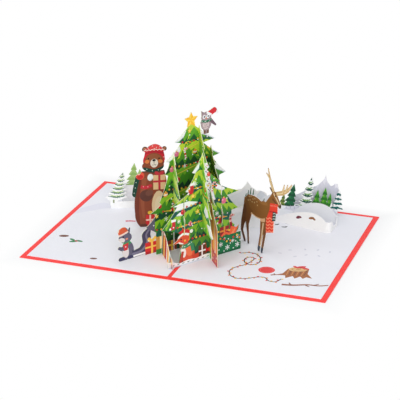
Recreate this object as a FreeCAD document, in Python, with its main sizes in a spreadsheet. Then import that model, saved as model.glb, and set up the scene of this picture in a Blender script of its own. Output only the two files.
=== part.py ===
# An opened greeting card with a pop-up winter scene, in millimetres.
# The card lies flat, open, with its fold along Y at x = 0 and its underside at z = 0.
# Upright paper sheets stand on it: a slotted tree of two long sheets and five cross slices,
# and figures and scenery on both panels. Every upright sheet is drawn in its own plane,
# with s along the sheet and z up, and then placed on the card.
import FreeCAD
import Part
import Sketcher
import math
import os
from FreeCAD import Placement, Rotation, Vector

os.makedirs("parts", exist_ok=True)
doc = FreeCAD.newDocument("popup_card")

DIMENSIONS = [
    ("panel_width", 127.0, "one panel of the card, across the fold"),
    ("panel_depth", 178.0, "the card along the fold"),
    ("cover_gauge", 0.4, "thickness of the red cover sheet"),
    ("liner_gauge", 0.3, "thickness of each pale liner"),
    ("sheet_gauge", 0.4, "thickness of the upright sheets"),
    ("margin", 4.5, "red border round the liners"),
    ("fold_gap", 3.5, "red strip left bare at the fold"),
    ("groove_width", 0.9, "scored groove along the fold"),
    ("groove_depth", 0.15, "depth of the scored groove"),
    ("tab_width", 8.0, "foot tab of an upright sheet"),
    ("foot_tab_width", 2.6, "foot tab under a narrow foot"),
    ("slit_clearance", 0.1, "room round a tab in its slit"),
    ("slot_clearance", 0.1, "room each side in a half slot"),
    ("lattice_half_width", 18.0, "side nodes of the tree lattice from the fold"),
    ("lattice_angle", 55.0, "angle of the long sheets to X"),
    ("lattice_front", 24.0, "front node from the card's front edge"),
    ("strip_shift", -6.0, "left strip along the long sheets from the front node"),
    ("left_slice_shift", 5.9, "left slice along the long sheets"),
    ("front_slice_shift", 24.0, "front slice along the front sheet"),
    ("right_slice_shift", 42.4, "right slice along the long sheets"),
    ("strip_split", 9.0, "height at which the left strip meets the back sheet in its slot"),
    ("strip_split_front", 4.0, "the same on the front sheet"),
    ("left_split", 44.0, "meeting height of the left slice and the back sheet"),
    ("left_split_front", 37.0, "the same on the front sheet"),
    ("front_split", 57.0, "meeting height of the front slice and the front sheet"),
    ("centre_split", 50.0, "meeting height of the centre slice and the back sheet"),
    ("centre_split_front", 34.0, "the same on the front sheet"),
    ("right_split", 42.0, "meeting height of the right slice and the back sheet"),
    ("right_split_front", 36.0, "the same on the front sheet"),
    ("back_tree_top", 105.6, "top of the back tree, inside its star"),
    ("star_lift", 2.2, "centre of the star above the top of the back tree"),
    ("back_tree_axis", -8.2, "axis of the back tree from the back node"),
    ("front_tree_top", 90.0, "top of the front tree"),
    ("centre_slice_top", 102.0, "top of the centre slice"),
    ("left_slice_top", 85.0, "top of the left slice"),
    ("right_slice_top", 83.0, "top of the right slice"),
    ("slice_underside", 26.0, "underside of the slices that hang in the slots"),
    ("star_radius", 6.8, "points of the star"),
    ("bear_angle", 30.0, "bear sheet to X"),
    ("bear_x", -49.0, "middle of the bear from the fold"),
    ("bear_y", 94.0, "bear sheet from the front edge"),
    ("deer_angle", -42.1, "deer sheet to X"),
    ("deer_x", 34.5, "hind foot of the deer from the fold"),
    ("deer_y", 90.0, "hind foot of the deer from the front edge"),
    ("bank_angle", 20.0, "snow bank to X"),
    ("bank_from_left", 31.0, "left end of the snow bank from the left edge"),
    ("bank_from_back", 59.5, "left end of the snow bank from the back edge"),
    ("bank_length", 30.0, "length of the snow bank"),
    ("firs_behind", 5.0, "pale fir sheet behind the snow bank"),
    ("firs_length", 38.0, "length of the pale fir sheet"),
    ("hill_from_right", 80.5, "left end of the hill from the right edge"),
    ("hill_from_back", 38.7, "left end of the hill from the back edge"),
    ("hill_front_angle", -13.3, "front wing of the hill to X"),
    ("hill_front_length", 47.5, "front wing of the hill"),
    ("hill_front_radius", 3.5, "bend between the front wing and the side"),
    ("hill_front_turn", 100.0, "turn of the paper at the front bend"),
    ("hill_side_length", 14.0, "side of the hill between its two bends"),
    ("hill_back_radius", 4.0, "bend between the side and the back wing"),
    ("hill_back_turn", 76.0, "turn of the paper at the back bend"),
    ("hill_back_length", 42.0, "back wing of the hill"),
    ("hill_front_shoulder", 9.4, "height of the paper at the front bend"),
    ("hill_neck", 2.4, "lowest height of the side"),
    ("hill_back_shoulder", 8.6, "height of the paper at the back bend"),
    ("forest_from_right", 83.0, "origin of the forest sheet from the right edge"),
    ("forest_from_back", 11.0, "forest sheet from the back edge"),
    ("mountain_from_back", 6.5, "mountain sheet from the back edge"),
    ("ridge_x", 9.0, "left end of the ridge sheet from the fold"),
    ("ridge_behind", 43.0, "ridge sheet behind the back node of the tree"),
    ("ridge_angle", 4.0, "ridge sheet to X"),
    ("ridge_length", 42.0, "length of the ridge sheet"),
    ("link_height", 17.0, "underside of the link arm that meets the ridge sheet"),
    ("link_depth", 5.0, "height of the link arm"),
]

dims = doc.addObject("Spreadsheet::Sheet", "Dims")
for row, (alias, value, note) in enumerate(DIMENSIONS, start=1):
    dims.set("A%d" % row, alias)
    dims.set("B%d" % row, repr(value))
    dims.set("C%d" % row, note)
    dims.setAlias("B%d" % row, alias)
doc.recompute()


def size(alias):
    return float(dims.get(alias))


GAUGE = size("sheet_gauge")
CARD_TOP = size("cover_gauge") + size("liner_gauge")
TAB_DEPTH = size("liner_gauge")
FRONT_EDGE = -size("panel_depth") / 2
ALONG = math.radians(size("lattice_angle"))
CELL = size("lattice_half_width") / math.cos(ALONG)
LATTICE_DEPTH = 2 * CELL * math.sin(ALONG)
# two sheets that cross at a slant need a wider straight slot than two that cross square
CROSSING = 2 * ALONG
SLOT = GAUGE * (1 + abs(math.cos(CROSSING))) / math.sin(CROSSING) + 2 * size("slot_clearance")
# slots start this far outside a sheet, and ABOVE every sheet
BELOW = -5.0
ABOVE = 130.0


# Outlines in the plane of a sheet

def point(s, z):
    return Vector(s, 0, z)


def bowed_edge(start, end, bow):
    """A straight edge, or an arc whose middle stands bow to the left of the way from start to end."""
    if abs(bow) < 1e-6:
        return Part.LineSegment(start, end).toShape()
    way = end - start
    middle = (start + end) * 0.5 + Vector(-way.z, 0, way.x).normalize() * bow
    return Part.Arc(start, middle, end).toShape()


def face_of(corners):
    """A face inside corners given as (s, z) or (s, z, bow of the edge that arrives there)."""
    places = [point(corner[0], corner[1]) for corner in corners]
    bows = [corner[2] if len(corner) > 2 else 0.0 for corner in corners]
    edges = [bowed_edge(places[i - 1], places[i], bows[i]) for i in range(len(corners))]
    return Part.Face(Part.Wire(edges))


def disc(s, z, half_width, half_height=None, tilt=0.0):
    """A filled circle or ellipse, tilted towards +z by tilt degrees."""
    half_height = half_height or half_width
    long_side = max(half_width, half_height)
    short_side = min(half_width, half_height)
    turn = math.radians(tilt + (90.0 if half_height > half_width else 0.0))
    if long_side - short_side < 1e-6:
        curve = Part.Circle(point(s, z), Vector(0, -1, 0), long_side)
    else:
        curve = Part.Ellipse(
            point(s + long_side * math.cos(turn), z + long_side * math.sin(turn)),
            point(s - short_side * math.sin(turn), z + short_side * math.cos(turn)),
            point(s, z),
        )
    return Part.Face(Part.Wire([curve.toShape()]))


def limb(stations):
    """Round-ended tapering strokes through stations of (s, z, radius)."""
    pieces = [disc(s, z, radius) for s, z, radius in stations]
    for start, end in zip(stations, stations[1:]):
        length = math.hypot(end[0] - start[0], end[1] - start[1])
        heading = math.atan2(end[1] - start[1], end[0] - start[0])
        spread = math.acos(max(-1.0, min(1.0, (start[2] - end[2]) / length)))
        sides = []
        for (s, z, radius), turn in ((start, spread), (end, spread), (end, -spread), (start, -spread)):
            sides.append((s + radius * math.cos(heading + turn), z + radius * math.sin(heading + turn)))
        pieces.append(face_of(sides))
    return united(pieces)


def united(faces):
    """One flat region from overlapping ones: the y = 0 face of their fused prisms."""
    prisms = [face.extrude(Vector(0, 1, 0)) for face in faces]
    whole = prisms[0].multiFuse(prisms[1:]).removeSplitter() if len(prisms) > 1 else prisms[0]
    flat = [face for face in whole.Faces if face.BoundBox.YMax < 1e-6]
    if len(flat) != 1:
        raise RuntimeError("the outline is in %d parts" % len(flat))
    return flat[0]


def box_face(s0, s1, z0, z1):
    return face_of([(s0, z0), (s1, z0), (s1, z1), (s0, z1)])


def smooth_face(top, floor=0.0):
    """The region under a smooth curve through the (s, z) points of top, down to floor."""
    curve = Part.BSplineCurve()
    curve.interpolate([point(s, z) for s, z in top])
    left, right = top[0], top[-1]
    edges = [
        curve.toShape(),
        Part.LineSegment(point(*right), point(right[0], floor)).toShape(),
        Part.LineSegment(point(right[0], floor), point(left[0], floor)).toShape(),
        Part.LineSegment(point(left[0], floor), point(*left)).toShape(),
    ]
    return Part.Face(Part.Wire(edges))


def star_face(s, z, radius, waist=0.5):
    corners = []
    for i in range(10):
        reach = radius if i % 2 == 0 else radius * waist
        angle = math.radians(90 + 36 * i)
        corners.append((s + reach * math.cos(angle), z + reach * math.sin(angle)))
    return face_of(corners)


def bough_side(axis, tips):
    """Corners up one side of a conifer, from boughs (s, z, share) given from the lowest up.

    share is how far out the notch under a bough lies, as a share of that bough's reach.
    """
    side = 1 if tips[0][0] > axis else -1
    corners = [(tips[0][0], tips[0][1], 0.0)]
    for s, z, share in tips[1:]:
        corners.append((axis + (s - axis) * share, z - 1.5, 0.7 * side))
        corners.append((s, z, 0.0))
    return corners


def tree_face(axis, top, left, right, foot):
    """A conifer: left and right list its boughs from the lowest up, foot its bottom corners."""
    rising = bough_side(axis, right)
    falling = bough_side(axis, left)
    corners = list(foot) + rising + [(axis, top, 0.6)]
    # down the left side each edge keeps its own bow, and arrives at the lower corner
    arriving = [0.6] + [-corner[2] for corner in falling[:0:-1]]
    for (s, z, _), bow in zip(falling[::-1], arriving):
        corners.append((s, z, bow))
    return face_of(corners)


def fir_face(axis, top, half_width, tiers, floor, trunk_top, trunk_half, lean=0.0, skirt=0.0):
    """A small fir of even tiers on a short trunk.

    lean carries it sideways per mm of height, and skirt is how far its lowest boughs hang down
    at the trunk.
    """
    step = (top - floor - trunk_top) / (tiers + 0.3)
    right = []
    left = []
    for i in range(tiers):
        low = floor + trunk_top + step * i
        reach = half_width * (1 - 0.82 * i / tiers)
        high = low + 0.85 * step
        for side, corners in ((1, right), (-1, left)):
            corners.append((axis + lean * (low - floor) + side * reach, low))
            corners.append((axis + lean * (high - floor) + side * reach * 0.42, high))
    bottom = floor + trunk_top + 0.6 - skirt
    foot = [(axis - trunk_half, bottom), (axis - trunk_half, floor)]
    foot += [(axis + trunk_half, floor), (axis + trunk_half, bottom)]
    return face_of(foot + right[:-1] + [(axis + lean * (top - floor), top)] + left[-2::-1])


# Sheets, slots and slits

def sheet_place(x, y_from_front, angle):
    return Placement(Vector(x, FRONT_EDGE + y_from_front, CARD_TOP), Rotation(Vector(0, 0, 1), angle))


def bound_box(label, expressions, placement):
    box = doc.addObject("Part::Box", label)
    for name, expression in expressions.items():
        box.setExpression(name, expression)
    box.Placement = placement
    return box


NODES = []
SLITS = {"left": [], "right": []}


def upright_sheet(label, region, placement, slots=(), tabs=()):
    """One flat sheet: its outline padded by the gauge, with half slots cut and foot tabs added.

    slots are (s, from_z, to_z); tabs are (s, alias of the tab's width).
    """
    for s, width_alias in tabs:
        half = size(width_alias) / 2
        region = united([region, box_face(s - half, s + half, -TAB_DEPTH, 0.3)])
        spot = placement.multVec(Vector(s, 0, 0))
        SLITS["left" if spot.x < 0 else "right"].append((label, placement, s, width_alias))
    outline = doc.addObject("Part::Feature", label + "_outline")
    outline.Shape = region
    body = doc.addObject("Part::Extrusion", label if not slots else label + "_blank")
    body.Base = outline
    body.DirMode = "Custom"
    body.Dir = Vector(0, 1, 0)
    body.Solid = True
    body.Symmetric = True
    body.setExpression("LengthFwd", "Dims.sheet_gauge")
    if slots:
        cutters = []
        for i, (s, low, high) in enumerate(slots):
            cutter = doc.addObject("Part::Box", "%s_slot_%d" % (label, i + 1))
            cutter.Length = SLOT
            cutter.setExpression("Width", "3 * Dims.sheet_gauge")
            cutter.Height = high - low
            cutter.Placement = Placement(Vector(s - SLOT / 2, -1.5 * GAUGE, low), Rotation())
            cutters.append(cutter)
        tool = doc.addObject("Part::Compound", label + "_slots")
        tool.Links = cutters
        blank = body
        body = doc.addObject("Part::Cut", label)
        body.Base = blank
        body.Tool = tool
    body.Label = label
    body.Placement = placement
    NODES.append(body)
    return body


def down_to(alias):
    """A slot from above the sheet down to a meeting height."""
    return size(alias) - size("slot_clearance"), ABOVE


def up_to(alias):
    """A slot from below the sheet up to a meeting height."""
    return BELOW, size(alias) + size("slot_clearance")


# The base of the card

def rectangle_sketch(body, name, across_size, along_size):
    """A rectangle centred on the body's origin, its sides bound to two expressions."""
    sketch = body.newObject("Sketcher::SketchObject", name)
    plane = [feature for feature in body.Origin.OriginFeatures if feature.Role == "XY_Plane"][0]
    sketch.AttachmentSupport = (plane, [""])
    sketch.MapMode = "FlatFace"
    corners = [Vector(-1, -1, 0), Vector(1, -1, 0), Vector(1, 1, 0), Vector(-1, 1, 0)]
    for i in range(4):
        sketch.addGeometry(Part.LineSegment(corners[i], corners[(i + 1) % 4]), False)
    for i in range(4):
        sketch.addConstraint(Sketcher.Constraint("Coincident", i, 2, (i + 1) % 4, 1))
    for i, kind in enumerate(("Horizontal", "Vertical", "Horizontal", "Vertical")):
        sketch.addConstraint(Sketcher.Constraint(kind, i))
    sketch.addConstraint(Sketcher.Constraint("Symmetric", 0, 1, 1, 2, -1, 1))
    across = sketch.addConstraint(Sketcher.Constraint("DistanceX", 0, 1, 0, 2, 2.0))
    along = sketch.addConstraint(Sketcher.Constraint("DistanceY", 1, 1, 1, 2, 2.0))
    sketch.setExpression("Constraints[%d]" % across, across_size)
    sketch.setExpression("Constraints[%d]" % along, along_size)
    return sketch


def cover():
    """The red cover: one sheet, scored along the fold on its inner face."""
    body = doc.addObject("PartDesign::Body", "cover")
    body.Label = "cover"
    outline = rectangle_sketch(body, "cover_outline", "2 * Dims.panel_width", "Dims.panel_depth")
    pad = body.newObject("PartDesign::Pad", "cover_pad")
    pad.Profile = outline
    pad.setExpression("Length", "Dims.cover_gauge")
    doc.recompute()
    whole = body.Shape.Volume
    groove_line = rectangle_sketch(body, "fold_line", "Dims.groove_width", "Dims.panel_depth + 2")
    groove_line.setExpression("AttachmentOffset.Base.z", "Dims.cover_gauge")
    groove = body.newObject("PartDesign::Pocket", "fold_groove")
    groove.Profile = groove_line
    groove.setExpression("Length", "Dims.groove_depth")
    doc.recompute()
    if body.Shape.Volume > whole - 1.0:
        raise RuntimeError("the fold groove cut nothing")
    NODES.append(body)


def liner(side):
    """A pale liner glued inside one panel, with a slit under each foot tab."""
    label = "liner_" + side
    blank = bound_box(
        label + "_blank",
        {
            "Length": "Dims.panel_width - Dims.margin - Dims.fold_gap / 2",
            "Width": "Dims.panel_depth - 2 * Dims.margin",
            "Height": "Dims.liner_gauge",
        },
        Placement(),
    )
    start = "Dims.fold_gap / 2" if side == "right" else "Dims.margin - Dims.panel_width"
    blank.setExpression("Placement.Base.x", start)
    blank.setExpression("Placement.Base.y", "Dims.margin - Dims.panel_depth / 2")
    blank.setExpression("Placement.Base.z", "Dims.cover_gauge")
    cutters = []
    for owner, placement, s, width_alias in SLITS[side]:
        length = size(width_alias) + 2 * size("slit_clearance")
        width = GAUGE + 2 * size("slit_clearance")
        local = Placement(Vector(s - length / 2, -width / 2, -2 * TAB_DEPTH), Rotation())
        slit = bound_box(
            "slit_for_" + owner,
            {
                "Length": "Dims.%s + 2 * Dims.slit_clearance" % width_alias,
                "Width": "Dims.sheet_gauge + 2 * Dims.slit_clearance",
                "Height": "4 * Dims.liner_gauge",
            },
            placement.multiply(local),
        )
        cutters.append(slit)
    tool = doc.addObject("Part::Compound", label + "_slits")
    tool.Links = cutters
    body = doc.addObject("Part::Cut", label)
    body.Base = blank
    body.Tool = tool
    body.Label = label
    NODES.append(body)


# Where the tree's sheets cross: distances along the front sheet from the front node
STRIP_AT = size("strip_shift")
LEFT_AT = size("left_slice_shift")
FRONT_AT = size("front_slice_shift")
CENTRE_AT = CELL
RIGHT_AT = size("right_slice_shift")


def long_sheet_place(is_back):
    """A long sheet, its s = 0 on the fold, at the front or the back node of the lattice."""
    rise = LATTICE_DEPTH if is_back else 0.0
    return sheet_place(0.0, size("lattice_front") + rise, math.degrees(ALONG))


def slice_place(shift, on_front=False):
    """A cross slice, its s = 0 on the back long sheet, or on the front one."""
    base = long_sheet_place(not on_front)
    start = shift if on_front else shift - CELL
    spot = base.multVec(Vector(start, 0, 0))
    return Placement(spot, Rotation(Vector(0, 0, 1), -math.degrees(ALONG)))


def squirrel(s, z):
    """A sitting squirrel in profile, s at its middle and z under its feet, facing the left."""
    tail = [(4, 3.4, 2.4), (13, 4.4, 3.4), (18.4, 10.4, 4.2), (17.4, 16.6, 4.0), (20.0, 20.4, 2.2)]
    return united([
        disc(s, z + 8.5, 5.4, 8.0, 12),
        disc(s - 2.4, z + 19.2, 6.2, 4.6, -8),
        limb([(s + 0.6, z + 23.0, 1.3), (s + 1.8, z + 26.6, 0.6)]),
        limb([(s - 4.0, z + 9.5, 1.9), (s - 8.2, z + 11.4, 1.3)]),
        limb([(s - 1.5, z + 1.9, 1.9), (s - 7.5, z + 1.5, 1.5)]),
        limb([(s + along, z + up, radius) for along, up, radius in tail]),
        face_of([
            (s - 8.0, z + 21.4),
            (s + 0.6, z + 23.4),
            (s - 4.6, z + 28.6, -1.6),
            (s - 9.4, z + 25.6, -0.6),
        ]),
        limb([(s + 1.0, z + 1.6, 1.6), (s + 20.0, z + 2.4, 1.6)]),
    ])


def fox(s):
    """A sitting fox in profile, s at its middle, facing the left, its tail curled to the right."""
    return united([
        disc(s + 1.5, 9.5, 6.2, 9.5, 14),
        disc(s - 2.6, 22.5, 5.6, 4.8, -8),
        face_of([(s - 7.2, 20.2), (s - 6.0, 24.4), (s - 12.6, 20.0)]),
        face_of([(s - 4.6, 25.6), (s - 0.6, 26.6), (s - 3.2, 32.2)]),
        face_of([(s - 0.8, 25.6), (s + 2.6, 24.0), (s + 1.6, 31.0)]),
        limb([(s - 3.6, 12.0, 2.2), (s - 5.6, 2.2, 1.7)]),
        limb([(s + 6, 3.4, 2.8), (s + 12.5, 4.4, 3.8), (s + 17.0, 9.0, 2.6), (s + 17.4, 13.6, 0.8)]),
    ])


def owl(s, z):
    """A small perched owl with a pointed cap."""
    return united([
        disc(s, z + 6.6, 5.2, 6.6, 0),
        disc(s, z + 11.6, 4.9, 4.2, 0),
        face_of([(s - 4.6, z + 12.6), (s - 1.6, z + 15.0), (s - 4.9, z + 17.4)]),
        face_of([(s + 0.4, z + 15.0), (s + 5.0, z + 12.0), (s + 10.6, z + 14.4), (s + 7.4, z + 18.2, -1.2)]),
        disc(s + 10.8, z + 13.6, 1.2),
        limb([(s + 3.6, z + 8.6, 1.8), (s + 9.2, z + 3.2, 0.8)]),
        limb([(s - 3.0, z + 9.2, 1.8), (s - 4.9, z + 7.4, 0.8)]),
        box_face(s - 2.6, s + 2.6, z - 6.5, z + 2.0),
    ])


def parcel_with_bow(s0, s1, foot, top, knot):
    """An upright parcel from s0 to s1, with the two loops of its bow at knot."""
    return [
        box_face(s0, s1, foot, top),
        limb([(knot, top + 0.5, 1.2), (knot - 3.0, top + 2.9, 1.3)]),
        limb([(knot, top + 0.5, 1.2), (knot + 3.0, top + 2.9, 1.3)]),
    ]


def tree_back():
    """The tallest long sheet: tree, star, owl, squirrel and parcels, and the arm to the ridge."""
    axis = size("back_tree_axis")
    top = size("back_tree_top")
    left = [
        (-52.4, 25.9, 1.0),
        (-48.2, 36.8, 0.84),
        (-39.4, 44.2, 0.94),
        (-33.8, 67.0, 0.88),
        (-33.0, 77.8, 0.85),
        (-24.0, 92.0, 0.62),
    ]
    right = [
        (28.0, 33.0, 1.0),
        (22.0, 44.0, 0.8),
        (26.5, 56.5, 0.8),
        (20.5, 74.0, 0.72),
        (15.5, 88.0, 0.5),
    ]
    foot = [(-35.0, 14.0), (-35.0, 0.0), (34.0, 0.0), (31.0, 16.0)]
    low = size("link_height")
    high = low + size("link_depth")
    reach = ridge_meeting()
    region = united([
        tree_face(axis, top, left, right, foot),
        star_face(axis, top + size("star_lift"), size("star_radius")),
        owl(6.6, 96.0),
        face_of([(20.0, low), (reach, low), (reach, high), (20.0, high, 0.8)]),
        squirrel(-70.0, 3.0),
        box_face(-43.0, -34.0, 0.0, 19.0),
    ] + parcel_with_bow(-53.5, -40.5, 2.4, 12.5, -47.0))
    slots = [
        (STRIP_AT - CELL, *up_to("strip_split")),
        (LEFT_AT - CELL, *up_to("left_split")),
        (0.0, *down_to("centre_split")),
        (RIGHT_AT - CELL, *up_to("right_split")),
    ]
    tabs = [(-40.8, "foot_tab_width"), (-19.0, "tab_width"), (26.0, "tab_width")]
    upright_sheet("tree_back", region, long_sheet_place(True), slots, tabs)


def tree_front():
    """The front long sheet: a smaller tree, a fox in the snow and a stack of presents."""
    left = [(-15.5, 34.5, 1.0), (-6.5, 52.5, 0.8), (7.5, 62.0, 0.8), (14.0, 76.5, 0.7)]
    right = [(56.0, 22.5, 1.0), (59.0, 37.0, 0.62), (59.5, 51.5, 0.68), (41.0, 64.0, 0.8), (30.6, 78.0, 0.6)]
    foot = [(3.5, 27.0, 0.8), (11.0, 14.0), (11.0, 0.0), (50.0, 0.0), (50.0, 16.0)]
    snow = [(-9.5, 5.5), (-5.0, 5.0), (2.0, 2.6), (10.0, 3.8), (18.0, 3.0), (26.0, 4.2), (38.0, 3.4)]
    cane = [(53.6, 15.0, 1.0), (51.4, 29.5, 1.0), (52.6, 31.8, 1.0), (54.8, 31.2, 0.9)]
    region = united([
        tree_face(FRONT_AT, size("front_tree_top"), left, right, foot),
        fox(8.0),
        smooth_face(snow),
        box_face(38.5, 62.0, 0.0, 15.5),
        face_of([(50.0, 15.5), (56.5, 15.5), (59.5, 22.0, -1.5), (56.0, 20.5, 1.0), (52.0, 21.5, -1.0)]),
        limb(cane),
    ])
    slots = [
        (STRIP_AT, *up_to("strip_split_front")),
        (LEFT_AT, *down_to("left_split_front")),
        (FRONT_AT, *down_to("front_split")),
        (CENTRE_AT, *down_to("centre_split_front")),
        (RIGHT_AT, *down_to("right_split_front")),
    ]
    tabs = [(24.0, "tab_width"), (54.0, "tab_width")]
    upright_sheet("tree_front", region, long_sheet_place(False), slots, tabs)


def cross_slices():
    """The five slices that cross the long sheets and make the tree round."""
    under = size("slice_underside")
    crest = [(-10.0, 10.0), (-4.0, 18.0), (4.0, 21.5), (12.0, 20.0), (22.0, 12.5), (CELL + 3.0, 8.0)]
    slots = [(0.0, *down_to("strip_split")), (CELL, *down_to("strip_split_front"))]
    upright_sheet("left_strip", smooth_face(crest), slice_place(STRIP_AT), slots, [(12.0, "tab_width")])

    region = tree_face(
        1.4, size("left_slice_top"),
        [(-15.0, 33.0, 1.0), (-12.5, 50.0, 0.65), (-8.0, 67.0, 0.65)],
        [(CELL + 3.5, 40.0, 1.0), (20.5, 52.0, 0.65), (15.5, 64.5, 0.65), (7.0, 76.0, 0.65)],
        [(-9.0, under), (CELL + 1.5, under)],
    )
    slots = [(0.0, *down_to("left_split")), (CELL, *up_to("left_split_front"))]
    upright_sheet("left_slice", region, slice_place(LEFT_AT), slots)

    region = tree_face(
        0.0, size("front_tree_top") + 1.0,
        [(-15.0, 40.0, 1.0), (-12.0, 58.0, 0.65), (-7.5, 74.0, 0.65)],
        [(30.0, 30.0, 1.0), (26.0, 45.0, 0.7), (20.0, 57.5, 0.7), (13.0, 70.5, 0.7), (7.5, 80.0, 0.6)],
        [(-10.0, under), (26.0, under + 2.0)],
    )
    slots = [(0.0, *up_to("front_split"))]
    upright_sheet("front_slice", region, slice_place(FRONT_AT, on_front=True), slots)

    region = tree_face(
        0.0, size("centre_slice_top"),
        [(-31.0, 27.0, 1.0), (-26.0, 48.0, 0.7), (-19.0, 68.0, 0.7), (-11.5, 86.0, 0.6)],
        [(51.5, 33.0, 1.0), (46.0, 50.0, 0.75), (37.5, 62.5, 0.75), (27.0, 76.0, 0.7), (15.0, 87.0, 0.6)],
        [(-28.0, 14.0), (-28.0, 0.0), (53.5, 0.0)],
    )
    slots = [(0.0, *up_to("centre_split")), (CELL, *up_to("centre_split_front"))]
    tabs = [(-20.0, "tab_width"), (40.0, "tab_width")]
    upright_sheet("centre_slice", region, slice_place(CENTRE_AT), slots, tabs)

    region = tree_face(
        1.4, size("right_slice_top"),
        [(-22.0, 24.0, 1.0), (-18.0, 42.0, 0.7), (-13.0, 58.0, 0.7), (-7.5, 72.0, 0.6)],
        [(36.4, 38.0, 1.0), (30.0, 52.0, 0.75), (24.0, 62.0, 0.75), (15.5, 71.0, 0.7), (7.5, 78.5, 0.6)],
        [(-19.0, 12.0), (-19.0, 0.0), (27.0, 0.0), (27.0, under - 2.0), (CELL + 2.0, under)],
    )
    slots = [(0.0, *down_to("right_split")), (CELL, *up_to("right_split_front"))]
    upright_sheet("right_slice", region, slice_place(RIGHT_AT), slots, [(16.0, "tab_width")])


def bear():
    """A standing bear seen from the front, in a knitted hat with ear flaps."""
    trunk = face_of([
        (-9.5, 0.0, -1.4),
        (9.5, 0.0),
        (14.0, 22.0, -2.0),
        (11.0, 50.0, -1.0),
        (-8.0, 50.0),
        (-13.9, 28.0, -0.6),
        (-14.0, 12.0, -0.5),
    ])
    hat = face_of([
        (-6.6, 59.4),
        (11.6, 59.0),
        (10.2, 67.6, -0.4),
        (3.6, 73.4, -1.4),
        (-4.6, 67.8, -1.6),
    ])
    region = united([
        trunk,
        disc(2.3, 58.8, 9.0, 8.6),
        disc(1.6, 54.2, 9.2, 5.4),
        hat,
        disc(-5.0, 69.2, 2.4),
        disc(11.2, 69.0, 2.0),
        limb([(-9.4, 44.0, 4.0), (-12.0, 36.0, 3.4), (-13.4, 30.0, 2.9)]),
    ])
    place = sheet_place(size("bear_x"), size("bear_y"), size("bear_angle"))
    upright_sheet("bear", region, place, (), [(-6.0, "foot_tab_width"), (6.0, "foot_tab_width")])


def deer():
    """A standing reindeer in profile with branching antlers and a scarf; s = 0 at its hind foot."""
    region = united([
        disc(17.5, 36.6, 17.5, 8.7, 1),
        disc(31.0, 37.6, 8.4, 8.6),
        disc(7.6, 35.4, 7.2, 8.4),
        limb([(34.5, 38.5, 6.6), (42.0, 50.0, 4.6), (46.0, 55.4, 4.4)]),
        limb([(46.0, 55.4, 4.4), (53.4, 50.6, 2.4)]),
        limb([(43.6, 58.0, 1.4), (38.8, 60.6, 0.7)]),
        limb([(3.6, 31.0, 5.8), (-3.4, 16.0, 2.6), (-4.6, 9.0, 2.0), (0.0, 1.8, 1.8)]),
        limb([(6.4, 30.0, 5.0), (4.0, 18.0, 2.4), (5.4, 9.0, 1.5), (6.0, 1.4, 1.4)]),
        limb([(29.0, 31.0, 4.6), (26.4, 16.0, 2.1), (22.6, 1.7, 1.7)]),
        limb([(32.4, 32.0, 4.0), (31.0, 16.0, 1.8), (27.4, 1.5, 1.5)]),
        limb([(0.8, 38.0, 1.8), (-1.0, 33.4, 0.9)]),
        face_of([(38.4, 39.0), (50.8, 42.6), (50.6, 50.4), (39.4, 47.4)]),
        face_of([
            (33.6, 20.2),
            (44.8, 24.4),
            (45.2, 34.6),
            (47.6, 35.4),
            (48.6, 43.6),
            (38.6, 41.6),
            (33.8, 31.2),
        ]),
        limb([(44.4, 59.0, 1.6), (39.0, 66.4, 1.7), (35.8, 75.6, 0.7)]),
        limb([(38.0, 68.6, 1.2), (33.2, 71.0, 0.6)]),
        limb([(48.4, 58.8, 1.6), (57.6, 62.6, 1.9), (65.4, 67.4, 1.4), (70.6, 73.6, 0.6)]),
        limb([(57.6, 62.6, 1.5), (59.8, 70.0, 0.6)]),
        limb([(62.0, 64.8, 1.3), (64.6, 71.4, 0.6)]),
        box_face(-1.5, 1.5, 0.0, 1.6),
        box_face(4.7, 7.3, 0.0, 1.6),
        box_face(21.2, 24.2, 0.0, 1.6),
        box_face(26.1, 28.7, 0.0, 1.6),
    ])
    place = sheet_place(size("deer_x"), size("deer_y"), size("deer_angle"))
    upright_sheet("deer", region, place, (), [(0.0, "foot_tab_width"), (22.7, "foot_tab_width")])


def left_scenery():
    """A snow bank with a snowy fir growing on its left end, and pale firs on a slope behind it."""
    x = size("bank_from_left") - size("panel_width")
    y = size("panel_depth") - size("bank_from_back")
    place = sheet_place(x, y, size("bank_angle"))
    length = size("bank_length")
    bank = smooth_face([(0.0, 6.0), (0.3 * length, 6.8), (0.7 * length, 7.0), (length, 6.4)])
    snowy_fir = fir_face(2.6, 33.5, 9.6, 6, 3.0, 7.6, 3.4, 0.27, 3.6)
    tabs = [(0.4 * length, "tab_width")]
    upright_sheet("bank_left", united([bank, snowy_fir]), place, (), tabs)

    length = size("firs_length")
    behind = place.multVec(Vector(0, size("firs_behind"), 0))
    slope = [(9.0, 19.0), (12.0, 21.4), (22.0, 22.4), (30.0, 20.0), (length, 13.0)]
    region = united([
        smooth_face(slope),
        fir_face(18.4, 40.4, 6.8, 4, 19.5, 1.0, 1.6, 0.1),
        fir_face(25.0, 35.0, 5.4, 3, 19.0, 1.0, 1.4, 0.0),
    ])
    place = Placement(behind, place.Rotation)
    upright_sheet("left_firs", region, place, (), [(0.6 * length, "tab_width")])


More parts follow.
